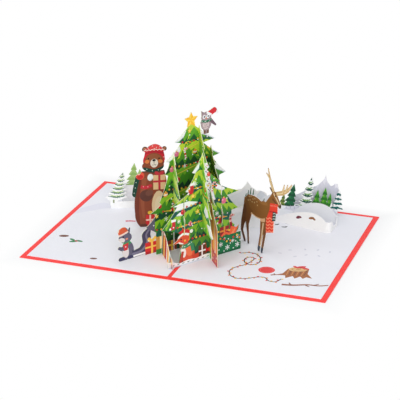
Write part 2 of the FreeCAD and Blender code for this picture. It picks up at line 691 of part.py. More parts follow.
def right_scenery():
    """Firs and mountains along the back of the right panel."""
    x = size("panel_width") - size("forest_from_right")
    # each fir: foot along the sheet, top, half width, tiers, lean
    firs = [
        (-1.6, 14.5, 3.6, 3, 0.22),
        (5.4, 24.6, 6.6, 4, 0.2),
        (18.8, 33.2, 8.2, 5, 0.22),
        (28.8, 22.0, 5.4, 3, 0.12),
        (35.6, 25.0, 5.6, 4, 0.1),
        (40.4, 20.4, 4.2, 3, 0.1),
        (47.6, 25.0, 5.8, 4, 0.12),
    ]
    snow = [(-6.0, 1.6), (0.0, 3.6), (8.0, 5.0), (16.0, 6.6), (26.0, 8.4), (36.0, 9.0), (44.0, 7.0)]
    snow.append((47.5, 5.0))
    trees = []
    for foot, top, half, tiers, lean in firs[:-1]:
        trees.append(fir_face(foot, top, half, tiers, 0.4, 3.0, 1.2, lean))
    foot, top, half, tiers, lean = firs[-1]
    trees.append(fir_face(foot, top, half, tiers, 3.0, 3.4, 1.2, lean))
    y = size("panel_depth") - size("forest_from_back")
    tabs = [(10.0, "tab_width"), (38.0, "tab_width")]
    upright_sheet("forest", united([smooth_face(snow)] + trees), sheet_place(x, y, 0.0), (), tabs)
    peaks = face_of([
        (8.0, 0.0),
        (46.0, 0.0),
        (50.4, 16.0),
        (47.8, 23.4, -0.3),
        (47.2, 27.4),
        (44.6, 27.7),
        (41.3, 25.0, 0.5),
        (38.4, 28.4, 0.3),
        (36.6, 35.2, 0.4),
        (34.4, 29.4, 0.4),
        (32.0, 26.8),
        (26.9, 22.8, 0.4),
        (20.0, 19.0),
        (8.0, 12.0, 0.5),
    ])
    y = size("panel_depth") - size("mountain_from_back")
    upright_sheet("mountains", peaks, sheet_place(x, y, 0.0), (), [(28.0, "tab_width")])


def ridge_meeting():
    """How far along the back sheet the arm runs before it touches the ridge sheet's face."""
    tilt = math.radians(size("ridge_angle"))
    # a point s along the back sheet lies on the ridge line where the two lines cross
    rise = size("ridge_behind") - size("ridge_x") * math.tan(tilt)
    reach = rise / (math.sin(ALONG) - math.cos(ALONG) * math.tan(tilt))
    return reach - GAUGE * (1 / math.sin(ALONG - tilt) + 1 / math.tan(ALONG - tilt)) / 2


def ridge():
    """A pale ridge of mountains and snow behind the deer."""
    length = size("ridge_length")
    region = face_of([
        (0.0, 0.0),
        (length, 0.0),
        (length, 25.0),
        (0.92 * length, 31.0, -1.2),
        (0.82 * length, 29.0, -0.6),
        (0.74 * length, 33.0, -1.4),
        (0.62 * length, 33.0, -0.8),
        (0.56 * length, 35.0),
        (0.43 * length, 41.2, 0.8),
        (0.3 * length, 33.5, 0.6),
        (0.17 * length, 30.5, -0.8),
        (0.0, 25.0, -1.0),
    ])
    y = size("lattice_front") + LATTICE_DEPTH + size("ridge_behind")
    place = sheet_place(size("ridge_x"), y, size("ridge_angle"))
    upright_sheet("ridge", region, place, (), [(0.7 * length, "tab_width")])


def bend(centre, radius, start, turn, height):
    """A curved piece of standing paper about centre, from the angle start through turn degrees."""
    outer = Part.makeCylinder(radius + GAUGE / 2, height, Vector(), Vector(0, 0, 1), turn)
    piece = outer.cut(Part.makeCylinder(radius - GAUGE / 2, height))
    piece.rotate(Vector(), Vector(0, 0, 1), start)
    piece.translate(centre)
    return piece


def heading_of(angle):
    return Vector(math.cos(math.radians(angle)), math.sin(math.radians(angle)), 0)


def hill():
    """A white hill: one strip stood on edge and bent twice, its front and back cut to low arches."""
    front = size("hill_front_length")
    side = size("hill_side_length")
    back = size("hill_back_length")
    shoulder = size("hill_front_shoulder")
    far_shoulder = size("hill_back_shoulder")
    neck = size("hill_neck")
    front_crest = [
        (0.0, 4.0),
        (0.27 * front, 9.8),
        (0.5 * front, 13.4),
        (0.8 * front, 14.6),
        (front, shoulder),
    ]
    side_crest = [
        (0.0, shoulder),
        (0.3 * side, 2 * neck),
        (0.6 * side, neck),
        (0.8 * side, 1.5 * neck),
        (side, far_shoulder),
    ]
    back_crest = [
        (0.0, far_shoulder),
        (0.16 * back, 14.0),
        (0.36 * back, 15.0),
        (0.7 * back, 10.8),
        (back, 1.2),
    ]
    crests = [front_crest, side_crest, back_crest]
    bends = [
        (size("hill_front_radius"), size("hill_front_turn"), shoulder),
        (size("hill_back_radius"), size("hill_back_turn"), far_shoulder),
    ]
    # the strip is laid out from its left end, each piece going on where the last one stopped
    spot = Vector()
    angle = 0.0
    pieces = []
    for i, (crest, length) in enumerate(zip(crests, (front, side, back))):
        wing = smooth_face(crest).extrude(Vector(0, GAUGE, 0))
        wing.translate(Vector(0, -GAUGE / 2, 0))
        wing.rotate(Vector(), Vector(0, 0, 1), angle)
        wing.translate(spot)
        pieces.append(wing)
        spot = spot + heading_of(angle) * length
        if i < len(bends):
            radius, turn, height = bends[i]
            centre = spot + heading_of(angle + 90) * radius
            pieces.append(bend(centre, radius, angle - 90, turn, height))
            angle += turn
            spot = centre + heading_of(angle - 90) * radius
    body = doc.addObject("Part::Feature", "hill")
    body.Shape = pieces[0].multiFuse(pieces[1:]).removeSplitter()
    body.Label = "hill"
    x = size("panel_width") - size("hill_from_right")
    y = size("panel_depth") - size("hill_from_back")
    body.Placement = sheet_place(x, y, size("hill_front_angle"))
    NODES.append(body)


cover()
tree_back()
tree_front()
cross_slices()
bear()
deer()
left_scenery()
right_scenery()
ridge()
hill()
liner("left")
liner("right")

doc.recompute()
for item in doc.Objects:
    if "Invalid" in item.State or "Error" in item.State:
        raise RuntimeError("%s failed: %s" % (item.Label, item.State))
for node in NODES:
    shape = node.Shape
    if shape.isNull() or not shape.isValid() or len(shape.Solids) != 1:
        raise RuntimeError("%s is not one valid solid" % node.Label)
    shape.exportStep("parts/%s.step" % node.Label)
    box = shape.BoundBox
    spans = (box.XMin, box.XMax, box.YMin, box.YMax, box.ZMin, box.ZMax)
    print("%-14s" % node.Label, " ".join("%7.1f" % value for value in spans))
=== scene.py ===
# %% [markdown]
# # An opened pop-up card with a winter scene
#
# The card is folded card stock: a red cover, two pale liners, and fifteen sheets that stand up
# when it opens. The solids of those sheets come from the CAD model. What is left for this lesson is
# the paper, and the printing on it.
#
# Real sheets are printed flat, on both sides, and die-cut after printing. The ink ends at the cut,
# and the cut edge shows the white core of the card. The same order is kept here: pictures are
# painted in the flat plane of each sheet, and then cut to that sheet's outline.

# %% The frame
import math
import random
import bpy
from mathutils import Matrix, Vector
from mathutils.geometry import delaunay_2d_cdt


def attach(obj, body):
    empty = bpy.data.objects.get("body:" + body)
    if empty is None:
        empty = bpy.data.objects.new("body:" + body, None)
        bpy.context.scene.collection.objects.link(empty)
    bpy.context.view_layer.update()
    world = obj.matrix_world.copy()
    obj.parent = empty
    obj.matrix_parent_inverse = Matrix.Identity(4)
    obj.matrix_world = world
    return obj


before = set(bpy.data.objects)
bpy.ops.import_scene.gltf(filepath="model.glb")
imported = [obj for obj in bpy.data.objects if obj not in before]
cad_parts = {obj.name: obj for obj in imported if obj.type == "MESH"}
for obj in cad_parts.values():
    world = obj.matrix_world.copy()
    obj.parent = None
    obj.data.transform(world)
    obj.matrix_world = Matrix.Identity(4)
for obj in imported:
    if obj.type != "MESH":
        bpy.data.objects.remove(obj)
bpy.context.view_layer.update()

MM = 0.001
HALF_WIDTH = 127.0
HALF_DEPTH = 89.0
GAUGE = 0.4
# height of the liners' upper face, on which every sheet stands
CARD_TOP = 0.7
# thickness of the ink, far more than real so that no two faces meet
INK = 0.02
print("sheets:", len(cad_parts))

# %% [markdown]
# ## Where each sheet stands
#
# A sheet has its own drawing board: `s` runs along its foot, `z` is the height above the card.
# Everything printed on it is drawn there in millimetres. The board knows how to put a point of the
# drawing on either face of the real sheet.

# %% Drawing boards


class Board:
    """A flat drawing plane: along and up are its two directions, out points off its front face."""

    def __init__(self, origin, along, up, half_gauge):
        self.origin = Vector(origin)
        self.along = Vector(along)
        self.up = Vector(up)
        self.out = self.along.cross(self.up)
        self.half_gauge = half_gauge

    def place(self, s, z, lift):
        return (self.origin + self.along * s + self.up * z + self.out * lift) * MM

    def read(self, co):
        away = co / MM - self.origin
        return away.dot(self.along), away.dot(self.up), away.dot(self.out)


def upright(x, y_from_front, angle):
    turn = math.radians(angle)
    origin = (x, y_from_front - HALF_DEPTH, CARD_TOP)
    return Board(origin, (math.cos(turn), math.sin(turn), 0), (0, 0, 1), GAUGE / 2)


# the tree: two long sheets cross the fold at a front and a back node, and five run the other way
LATTICE_ANGLE = 55
LATTICE_HALF_WIDTH = 18.0
FRONT_NODE = 24.0
LATTICE = math.radians(LATTICE_ANGLE)
CELL = LATTICE_HALF_WIDTH / math.cos(LATTICE)
BACK_NODE = FRONT_NODE + 2 * CELL * math.sin(LATTICE)
RIDGE_BEHIND = 43.0
BANK_PLACE = (-96.0, 118.5, 20)
FIRS_BEHIND = 5.0


def cross_board(shift, on_front=False):
    """The board of a sheet that crosses the long ones, shift along them from the back or front node."""
    start = shift if on_front else shift - CELL
    node = FRONT_NODE if on_front else BACK_NODE
    return upright(start * math.cos(LATTICE), node + start * math.sin(LATTICE), -LATTICE_ANGLE)


FIRS = upright(*BANK_PLACE)
FIRS.origin = FIRS.origin - FIRS.out * FIRS_BEHIND
BOARDS = {
    "tree_back": upright(0, BACK_NODE, LATTICE_ANGLE),
    "tree_front": upright(0, FRONT_NODE, LATTICE_ANGLE),
    "left_strip": cross_board(-6.0),
    "left_slice": cross_board(5.9),
    "front_slice": cross_board(24.0, True),
    "centre_slice": cross_board(CELL),
    "right_slice": cross_board(42.4),
    "bear": upright(-49.0, 94.0, 30),
    "deer": upright(34.5, 90.0, -42.1),
    "bank_left": upright(*BANK_PLACE),
    "left_firs": FIRS,
    "forest": upright(44.0, 167.0, 0),
    "mountains": upright(44.0, 171.5, 0),
    "ridge": upright(9.0, BACK_NODE + RIDGE_BEHIND, 4),
    "hill": upright(46.5, 139.3, -13.3),
}
PAGE = Board((0, 0, CARD_TOP), (1, 0, 0), (0, 1, 0), 0.0)
print("boards:", len(BOARDS))

# %% [markdown]
# ## Nodes as sentences
#
# Paper and ink are described by small sums: how deep a point lies in the sheet, how far a fleck of
# fibre lightens it. `Num` lets such sums be written as ordinary Python.

# %% Node tools


class Kit:
    """Adds nodes to one tree: the type, its settings, then its sockets by name or number."""

    def __init__(self, tree):
        self.tree = tree

    def add(self, kind, settings=None, sockets=None):
        node = self.tree.nodes.new(kind)
        for name, value in (settings or {}).items():
            setattr(node, name, value)
        for key, value in (sockets or {}).items():
            self.feed(node.inputs[key], value)
        return node

    def feed(self, socket, value):
        if isinstance(value, Num):
            value = value.socket
        if isinstance(value, bpy.types.NodeSocket):
            self.tree.links.new(value, socket)
        else:
            socket.default_value = value


class Num:
    """A number in a node tree that takes Python's own signs."""

    def __init__(self, kit, socket):
        self.kit = kit
        self.socket = socket

    def join(self, operation, other, swapped=False):
        first, second = (other, self) if swapped else (self, other)
        node = self.kit.add("ShaderNodeMath", {"operation": operation}, {0: first, 1: second})
        return Num(self.kit, node.outputs[0])

    def __add__(self, other):
        return self.join("ADD", other)

    def __sub__(self, other):
        return self.join("SUBTRACT", other)

    def __rsub__(self, other):
        return self.join("SUBTRACT", other, True)

    def __mul__(self, other):
        return self.join("MULTIPLY", other)

    def __gt__(self, other):
        return self.join("GREATER_THAN", other)

    def __abs__(self):
        return self.join("ABSOLUTE", 0.0)


def parts_of(kit, vector):
    """The three numbers of a vector."""
    split = kit.add("ShaderNodeSeparateXYZ", None, {0: vector})
    return [Num(kit, socket) for socket in split.outputs]


def linear(colour):
    """A colour as painters mix it, 0 to 255, turned into light."""
    out = []
    for part in colour:
        c = part / 255
        out.append(c / 12.92 if c <= 0.04045 else ((c + 0.055) / 1.055) ** 2.4)
    return (*out, 1.0)


def blend(kit, amount, first, second, kind="MIX"):
    """Two colours mixed by amount."""
    node = kit.add("ShaderNodeMix", {"data_type": "RGBA", "blend_type": kind})
    kit.feed(node.inputs[0], amount)
    kit.feed(node.inputs[6], first)
    kit.feed(node.inputs[7], second)
    return node.outputs[2]


def noise(kit, where, scale, detail=2.0):
    node = kit.add(
        "ShaderNodeTexNoise", {"noise_dimensions": "3D"},
        {"Vector": where, "Scale": scale, "Detail": detail, "Roughness": 0.6},
    )
    return Num(kit, node.outputs["Fac"])


def new_material(name):
    material = bpy.data.materials.new(name)
    material.use_nodes = True
    material.node_tree.nodes.clear()
    kit = Kit(material.node_tree)
    where = kit.add("ShaderNodeTexCoord").outputs["Object"]
    return material, kit, where


FIBRE_SCALE = 1500.0
FIBRE_HEIGHT = 0.04 * MM
FIBRE_STRENGTH = 0.12
PAPER_GLINT = 0.35


def close(material, kit, where, colour, roughness):
    """Ends a paper material: its roughness varies a little and its fibres stand up a little."""
    fibre = noise(kit, where, FIBRE_SCALE, 3.0)
    bump = kit.add(
        "ShaderNodeBump", None,
        {"Strength": FIBRE_STRENGTH, "Distance": FIBRE_HEIGHT, "Height": fibre},
    )
    shader = kit.add("ShaderNodeBsdfPrincipled", None, {
        "Base Color": colour,
        "Roughness": noise(kit, where, 300.0) * 0.12 + roughness,
        "Normal": bump.outputs[0],
    })
    shader.inputs["Specular IOR Level"].default_value = PAPER_GLINT
    kit.add("ShaderNodeOutputMaterial", None, {"Surface": shader.outputs[0]})
    return material


# %% [markdown]
# ## Card stock
#
# Printed card is a white core between two coated faces. A point of the solid belongs to a face
# when it lies half a gauge from the middle plane, and to the core when it lies between. The depth
# is worked out from the board's own position, so the white line at the cut follows every outline.

# %% Paper materials
CORE = (250, 249, 246)


def depth_in(kit, where, board):
    """How far a point lies in front of the middle plane of a board."""
    x, y, _ = parts_of(kit, where)
    return x * board.out.x + y * board.out.y - board.origin.dot(board.out) * MM


def darker(colour, share):
    return [part * share for part in colour]


def card_stock(name, tint, board, core_tint=CORE):
    material, kit, where = new_material(name)
    face = blend(kit, noise(kit, where, 60.0, 3.0) * 0.5, linear(tint), linear(darker(tint, 0.96)))
    core = blend(kit, noise(kit, where, 900.0), linear(core_tint), linear(darker(core_tint, 0.92)))
    on_face = abs(depth_in(kit, where, board)) > (board.half_gauge - 0.02) * MM
    return close(material, kit, where, blend(kit, on_face, core, face), 0.5)


def hill_card(board):
    """The folded white hill: its inner far side carries painted shade, a soft grey, darker at the foot."""
    material, kit, where = new_material("hill")
    out = board.out
    facing = parts_of(kit, kit.add("ShaderNodeNewGeometry").outputs["Normal"])
    towards = facing[0] * out.x + facing[1] * out.y
    # the inner far side, which gets the painted shade: behind the front wing, and turned towards it
    shaded_inner = (towards > 0.25) * (-3.0 * MM - depth_in(kit, where, board) > 0.0)
    # painted shade: darker at the foot of the wing, lighter towards its top
    height = parts_of(kit, where)[2] * 28.0 + noise(kit, where, 30.0) * 0.3
    shade = blend(kit, height, linear((216, 217, 222)), linear((238, 239, 242)))
    white = blend(kit, noise(kit, where, 60.0, 3.0), linear((246, 245, 243)), linear((240, 239, 238)))
    return close(material, kit, where, blend(kit, shaded_inner, white, shade), 0.5)


def red_card():
    """The cover: red card, its colour a little worn along the score."""
    material, kit, where = new_material("cover")
    near_fold = 1.0 - abs(parts_of(kit, where)[0]) * 900.0
    worn = near_fold.join("MAXIMUM", 0.0) * noise(kit, where, 500.0, 4.0)
    plain = blend(kit, noise(kit, where, 90.0, 3.0), linear((248, 54, 50)), linear((240, 46, 44)))
    return close(material, kit, where, blend(kit, worn * 0.5, plain, linear((244, 120, 112))), 0.45)


def page_paper(name):
    """The liner: pale lilac snow printed with soft clouds."""
    material, kit, where = new_material(name)
    cloud = noise(kit, where, 22.0, 4.0)
    drift = noise(kit, where, 9.0, 2.0)
    colour = blend(kit, cloud, linear((234, 234, 240)), linear((225, 225, 234)))
    colour = blend(kit, drift * 0.4, colour, linear((240, 240, 244)))
    return close(material, kit, where, colour, 0.6)


def print_ink():
    """Ink: its colour is painted on the mesh, a little uneven as on uncoated card."""
    material, kit, where = new_material("print_ink")
    painted = kit.add("ShaderNodeAttribute", {"attribute_name": "ink"}).outputs["Color"]
    mottle = noise(kit, where, 260.0, 3.0) * 0.5 + noise(kit, where, 1200.0, 2.0) * 0.3
    shade = blend(kit, mottle, (1, 1, 1, 1), (0.86, 0.86, 0.86, 1))
    return close(material, kit, where, blend(kit, 1.0, painted, shade, "MULTIPLY"), 0.46)


INK_MATERIAL = print_ink()
TINTS = {
    "tree_back": (90, 150, 45), "tree_front": (100, 160, 45), "left_strip": (238, 168, 80),
    "left_slice": (150, 195, 70), "front_slice": (130, 190, 60), "centre_slice": (150, 180, 60),
    "right_slice": (90, 110, 35), "bear": (128, 72, 48), "deer": (140, 92, 50),
    "bank_left": (240, 242, 240), "left_firs": (190, 210, 160), "forest": (225, 232, 225),
    "mountains": (226, 226, 234), "ridge": (228, 228, 236),
}


def dress(node, material):
    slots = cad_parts[node].data.materials
    slots.clear()
    slots.append(material)


for node, tint in TINTS.items():
    # the cuts of the tree sheets are a little olive, where ink has run over the edge
    of_tree = node.startswith("tree") or node.endswith("slice")
    dress(node, card_stock(node, tint, BOARDS[node], (232, 232, 200) if of_tree else CORE))
dress("cover", red_card())
dress("hill", hill_card(BOARDS["hill"]))
dress("liner_left", page_paper("liner_left"))
dress("liner_right", page_paper("liner_right"))
print("materials:", len(bpy.data.materials))

# %% [markdown]
# ## Shapes to draw with
#
# Poster-style printing is flat shapes, one over another. These are the few that the pictures
# need: ovals, tapering strokes, smooth bands, stars, and a bough with a toothed lower edge.

# %% Shapes


def oval(s, z, a, b=None, tilt=0.0, count=16):
    b = b or a
    turn = math.radians(tilt)
    points = []
    for i in range(count):
        angle = 2 * math.pi * i / count
        u, v = a * math.cos(angle), b * math.sin(angle)
        points.append((
            s + u * math.cos(turn) - v * math.sin(turn), z + u * math.sin(turn) + v * math.cos(turn),
        ))
    return points


def box(s0, s1, z0, z1):
    return [(s0, z0), (s1, z0), (s1, z1), (s0, z1)]


def flow(t, a, b, c, d):
    """The place at t on a curve from b to c, which takes its slopes from a and d."""
    bend = (2 * a - 5 * b + 4 * c - d) * t * t
    return 0.5 * (2 * b + (c - a) * t + bend + (3 * b - a - 3 * c + d) * t ** 3)


def smooth(points, steps=4):
    """A flowing line through the points."""
    ends = [points[0], *points, points[-1]]
    line = []
    for i in range(len(points) - 1):
        p0, p1, p2, p3 = ends[i:i + 4]
        for k in range(steps):
            t = k / steps
            line.append(tuple(flow(t, *four) for four in zip(p0, p1, p2, p3)))
    line.append(points[-1])
    return line


def sides_of(line, widths):
    """The two banks of a line, half a width to each side."""
    left, right = [], []
    for i, (s, z) in enumerate(line):
        before, after = line[max(i - 1, 0)], line[min(i + 1, len(line) - 1)]
        length = math.hypot(after[0] - before[0], after[1] - before[1]) or 1.0
        ns, nz = -(after[1] - before[1]) / length, (after[0] - before[0]) / length
        half = widths[i] / 2
        left.append((s + ns * half, z + nz * half))
        right.append((s - ns * half, z - nz * half))
    return left, right


def band(points, width, end_width=None, steps=4):
    """A smooth stroke through the points, tapering to end_width."""
    line = smooth(points, steps) if steps > 1 else list(points)
    end_width = width if end_width is None else end_width
    widths = [width + (end_width - width) * i / (len(line) - 1) for i in range(len(line))]
    left, right = sides_of(line, widths)
    return left + right[::-1]


def stripes(points, width, length, steps=6):
    """Every other piece of a stroke, each about length long, for canes and striped ribbons."""
    line = smooth(points, steps)
    left, right = sides_of(line, [width] * len(line))
    gone = 0.0
    pieces = []
    for i in range(len(line) - 1):
        gone += math.dist(line[i], line[i + 1])
        if int(gone / length) % 2 == 0:
            pieces.append([left[i], left[i + 1], right[i + 1], right[i]])
    return pieces


def star(s, z, radius, waist=0.5, turn=90.0):
    """A star of five points."""
    corners = []
    for i in range(10):
        reach = radius if i % 2 == 0 else radius * waist
        angle = math.radians(turn + 36 * i)
        corners.append((s + reach * math.cos(angle), z + reach * math.sin(angle)))
    return corners


def toothed(axis, reach, level, droop, tooth, depth, top, seed):
    """The area above a drooping line whose teeth lean outwards, as the lower edge of painted boughs."""
    dice = random.Random(seed)
    count = max(4, int(2 * reach / tooth))
    edge = []
    for i in range(2 * count + 1):
        s = axis - reach + reach * i / count
        low = level - droop * abs(s - axis)
        if i % 2:
            lean = dice.uniform(0.1, 0.4) * tooth * (1 if s > axis else -1)
            edge.append((s + lean, low - depth * dice.uniform(0.4, 1.2)))
        else:
            edge.append((s, low + depth * dice.uniform(0.0, 0.5)))
    return edge + [(axis + reach, top), (axis - reach, top)]


# %% [markdown]
# ## The painter
#
# Shapes are kept in the order in which they are painted. All of them, with the sheet's outline,
# then go through one flat triangulation, and each triangle takes the colour of the last shape that
# covers it. The result is a single skin of ink that ends exactly at the cut.

# %% Painter


def area(points):
    return sum(a[0] * b[1] - b[0] * a[1] for a, b in zip(points, points[1:] + points[:1])) / 2


def outline_of(node, board):
    """The edge of a sheet's front face, as closed loops; holes run the other way round."""
    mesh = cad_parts[node].data
    following = {}
    seen = set()
    for polygon in mesh.polygons:
        corners = [board.read(mesh.vertices[i].co) for i in polygon.vertices]
        if any(abs(corner[2] - board.half_gauge) > 0.01 for corner in corners):
            continue
        keys = [(round(corner[0], 3), round(corner[1], 3)) for corner in corners]
        for edge in zip(keys, keys[1:] + keys[:1]):
            seen.add(edge)
    for a, b in sorted(seen):
        if (b, a) not in seen:
            following.setdefault(a, []).append(b)
    loops = []
    while following:
        start = next(iter(following))
        loop = [start]
        here = start
        while here in following:
            ahead = following[here].pop()
            if not following[here]:
                del following[here]
            if ahead == start:
                break
            loop.append(ahead)
            here = ahead
        loops.append(loop)
    return loops


class Picture:
    """What is printed on one sheet."""

    def __init__(self, node, ground=None, board=None, both_sides=True):
        self.node = node
        self.board = board or BOARDS[node]
        self.ground = ground
        self.both_sides = both_sides
        self.shapes = []
        self.strings = []
        self.loops = outline_of(node, self.board)

    def paint(self, colour, *shapes):
        """Adds shapes of one colour, each over all that came before."""
        for shape in shapes:
            self.shapes.append((shape, colour))

    def regions(self):
        """Points of (s, z), and the triangles between them with their colours."""
        points, faces = [], []
        outside, holes = set(), set()
        for loop in self.loops:
            (outside if area(loop) > 0 else holes).add(len(faces))
            self.enter(loop, points, faces)
        first_shape = len(faces)
        for shape, _ in self.shapes:
            self.enter(shape, points, faces)
        spots, _, corners, _, _, owners = delaunay_2d_cdt(points, [], faces, 1, 1e-5)
        kept = []
        for face, over in zip(corners, owners):
            over = set(over)
            if not over & outside or over & holes:
                continue
            top = max(over)
            if top >= first_shape:
                colour = self.shapes[top - first_shape][1]
            elif self.ground is not None:
                colour = self.ground
            else:
                continue
            kept.append((face, linear(colour)))
        return spots, kept

    @staticmethod
    def enter(loop, points, faces):
        loop = loop if area(loop) > 0 else loop[::-1]
        faces.append(list(range(len(points), len(points) + len(loop))))
        points.extend(Vector(corner) for corner in loop)

    def build(self):
        spots, kept = self.regions()
        verts, polygons, colours = [], [], []
        for side in (1, -1) if self.both_sides else (1,):
            self.plate(side, spots, kept, verts, polygons, colours)
        mesh = bpy.data.meshes.new(self.node + "_print")
        mesh.from_pydata(verts, [], polygons)
        ink = mesh.color_attributes.new("ink", "FLOAT_COLOR", "CORNER")
        ink.data.foreach_set("color", [part for colour in colours for part in colour])
        mesh.materials.append(INK_MATERIAL)
        mesh.validate()
        piece = bpy.data.objects.new(self.node + "_print", mesh)
        bpy.context.scene.collection.objects.link(piece)
        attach(piece, "root")
        return piece

    def plate(self, side, spots, kept, verts, polygons, colours):
        """One closed skin on the front face (side 1) or the back face (side -1)."""
        index = {}
        edges = {}

        def vertex(i, lift):
            if (i, lift) not in index:
                index[i, lift] = len(verts)
                verts.append(self.board.place(spots[i][0], spots[i][1], side * lift))
            return index[i, lift]

        high, low = self.board.half_gauge + INK, self.board.half_gauge - INK
        for face, tint in kept:
            for lift, forward in ((high, side > 0), (low, side < 0)):
                ring = [vertex(i, lift) for i in face]
                polygons.append(ring if forward else ring[::-1])
                colours.extend([tint] * len(ring))
            for a, b in zip(face, face[1:] + face[:1]):
                edges[a, b] = tint
        for (a, b), tint in edges.items():
            if (b, a) in edges:
                continue
            ring = [vertex(b, high), vertex(a, high), vertex(a, low), vertex(b, low)]
            polygons.append(ring if side > 0 else ring[::-1])
            colours.extend([tint] * len(ring))


# %% [markdown]
# ## Small ornaments
#
# The tree carries the common ones: glass balls, canes, stockings, gold stars, snowflakes. Each is
# a few shapes, so that a picture can place it with one line.

# %% Ornaments
WHITE = (247, 248, 247)
SNOW_SHADE = (214, 222, 232)
RED = (208, 38, 48)
CORAL = (233, 84, 62)
ORANGE = (238, 132, 48)
GOLD = (246, 196, 60)
PINK = (226, 112, 142)
NIGHT = (20, 44, 42)
TEAL = (10, 96, 80)
LEAF = (86, 158, 34)
FRESH = (140, 196, 38)
LIME = (190, 218, 54)


def ball(picture, s, z, radius, colour):
    picture.paint(GOLD, box(s - radius * 0.3, s + radius * 0.3, z + radius * 0.8, z + radius * 1.35))
    picture.paint(colour, oval(s, z, radius))
    picture.paint(
        [min(255, part + 55) for part in colour],
        oval(s - radius * 0.35, z + radius * 0.35, radius * 0.32, count=8),
    )


def striped_ball(picture, s, z, radius, colour):
    ball(picture, s, z, radius, colour)
    picture.paint(
        WHITE,
        band(
            [(s - radius * 0.9, z), (s, z - radius * 0.25), (s + radius * 0.9, z)], radius * 0.4,
            steps=2,
        ),
    )


def candy_cane(picture, s, z, height, lean, red=RED):
    hook = height * 0.22
    line = [
        (s, z),
        (s + lean * 0.7, z + height * 0.7),
        (s + lean, z + height - hook * 0.4),
        (s + lean + hook * 0.7, z + height),
        (s + lean + hook * 1.5, z + height - hook * 0.7),
    ]
    picture.paint(WHITE, band(line, height * 0.17))
    picture.paint(red, *stripes(line, height * 0.17, height * 0.09, 8))


def stocking(picture, s, z, size, colour=RED):
    picture.paint(colour, [
        (s, z + size), (s + size * 0.42, z + size), (s + size * 0.42, z + size * 0.34),
        (s + size * 0.3, z), (s - size * 0.3, z), (s - size * 0.34, z + size * 0.24), (
            s, z + size * 0.42,
        ),
    ])
    picture.paint(WHITE, box(s - size * 0.08, s + size * 0.5, z + size * 0.86, z + size * 1.12))
    picture.paint(WHITE, oval(s - size * 0.22, z + size * 0.13, size * 0.13, count=8))


def gold_star(picture, s, z, radius, turn=90.0):
    picture.paint(GOLD, star(s, z, radius, 0.5, turn))
    picture.paint((255, 224, 120), star(s, z, radius * 0.5, 0.6, turn))


def snowflake(picture, s, z, radius):
    for i in range(3):
        turn = math.radians(60 * i + 90)
        ds, dz = radius * math.cos(turn), radius * math.sin(turn)
        picture.paint(WHITE, band([(s - ds, z - dz), (s + ds, z + dz)], radius * 0.2, steps=1))
        for end in (-0.62, 0.62):
            us, uz = s + ds * end, z + dz * end
            picture.paint(WHITE, oval(us, uz, radius * 0.19, count=6))


def string(picture, points, colour, width=0.7):
    """A cord drawn on the sheet in short strokes, as it may cross itself; bulbs follow it later."""
    line = smooth(points, 4)
    left, right = sides_of(line, [width] * len(line))
    for i in range(0, len(line) - 1, 3):
        picture.paint(colour, left[i:i + 4] + right[i:i + 4][::-1])
    picture.strings.append(smooth(points, 6))


def snow_patch(picture, points):
    """Snow lying on a bough: a white shape with its shaded underside just below."""
    picture.paint(SNOW_SHADE, [(s, z - 0.7) for s, z in points])
    picture.paint(WHITE, points)


# a height above every sheet, up to which the ground colours are painted
ABOVE_ALL = 135.0


def tier(picture, axis, low, reach, top, seed, tones, droop, tooth=5.6):
    """One tier of a painted conifer: a dark toothed hem, then brighter boughs and strokes above it."""
    height = top - low
    dice = random.Random(seed + 7)
    for share, colour, depth in ((0.0, tones[0], 1.2), (0.24, tones[1], 3.4), (0.56, tones[2], 4.6)):
        level = low + share * height
        picture.paint(colour, toothed(axis, reach, level, droop, tooth, depth, ABOVE_ALL, seed))
        seed += 1
    for k in range(int(reach / 2.6)):
        s = axis + dice.uniform(-reach, reach) * 0.9
        z = low + height * dice.uniform(0.25, 0.9) - droop * abs(s - axis)
        way = (1 if s > axis else -1) * dice.uniform(1.2, 3.0)
        fall = dice.uniform(3.0, 6.0)
        tone = tones[1] if z > low + 0.5 * height else tones[2 if k % 3 else 0]
        picture.paint(tone, [(s, z), (s + way, z - fall), (s - 0.45 * way, z - 0.6 * fall)])


def conifer(picture, axis, reach, seed, tiers, droop, tooth=5.6, crown=()):
    """A conifer's tiers from its foot up; crown holds the brighter tones that all of them share."""
    for i, (low, top, *tones) in enumerate(tiers):
        tier(picture, axis, low, reach, top, seed + 10 * i, (*tones, *crown), droop, tooth)


def parcel(picture, s0, s1, z0, z1, colour, ribbon, bow=True):
    picture.paint(colour, box(s0, s1, z0, z1))
    middle, half = (s0 + s1) / 2, (s1 - s0) * 0.09
    picture.paint(ribbon, box(middle - half, middle + half, z0, z1))
    level = z0 + (z1 - z0) * 0.55
    picture.paint(ribbon, box(s0, s1, level - half, level + half))
    if bow:
        size = (s1 - s0) * 0.3
        for way in (-1, 1):
            picture.paint(
                ribbon,
                [
                    (middle, z1 - 0.4), (middle + way * size, z1 - 0.2),
                    (middle + way * size * 0.9, z1 + size * 0.75),
                ],
            )


print("ornaments ready")

# %% [markdown]
# ## The tree
#
# The two long sheets show the tree from the front. Each tier is bright at its crown and nearly
# black at its hem, which is what makes the flat sheets look deep. Garlands sag along the hems.

# %% Long sheets
PICTURES = []


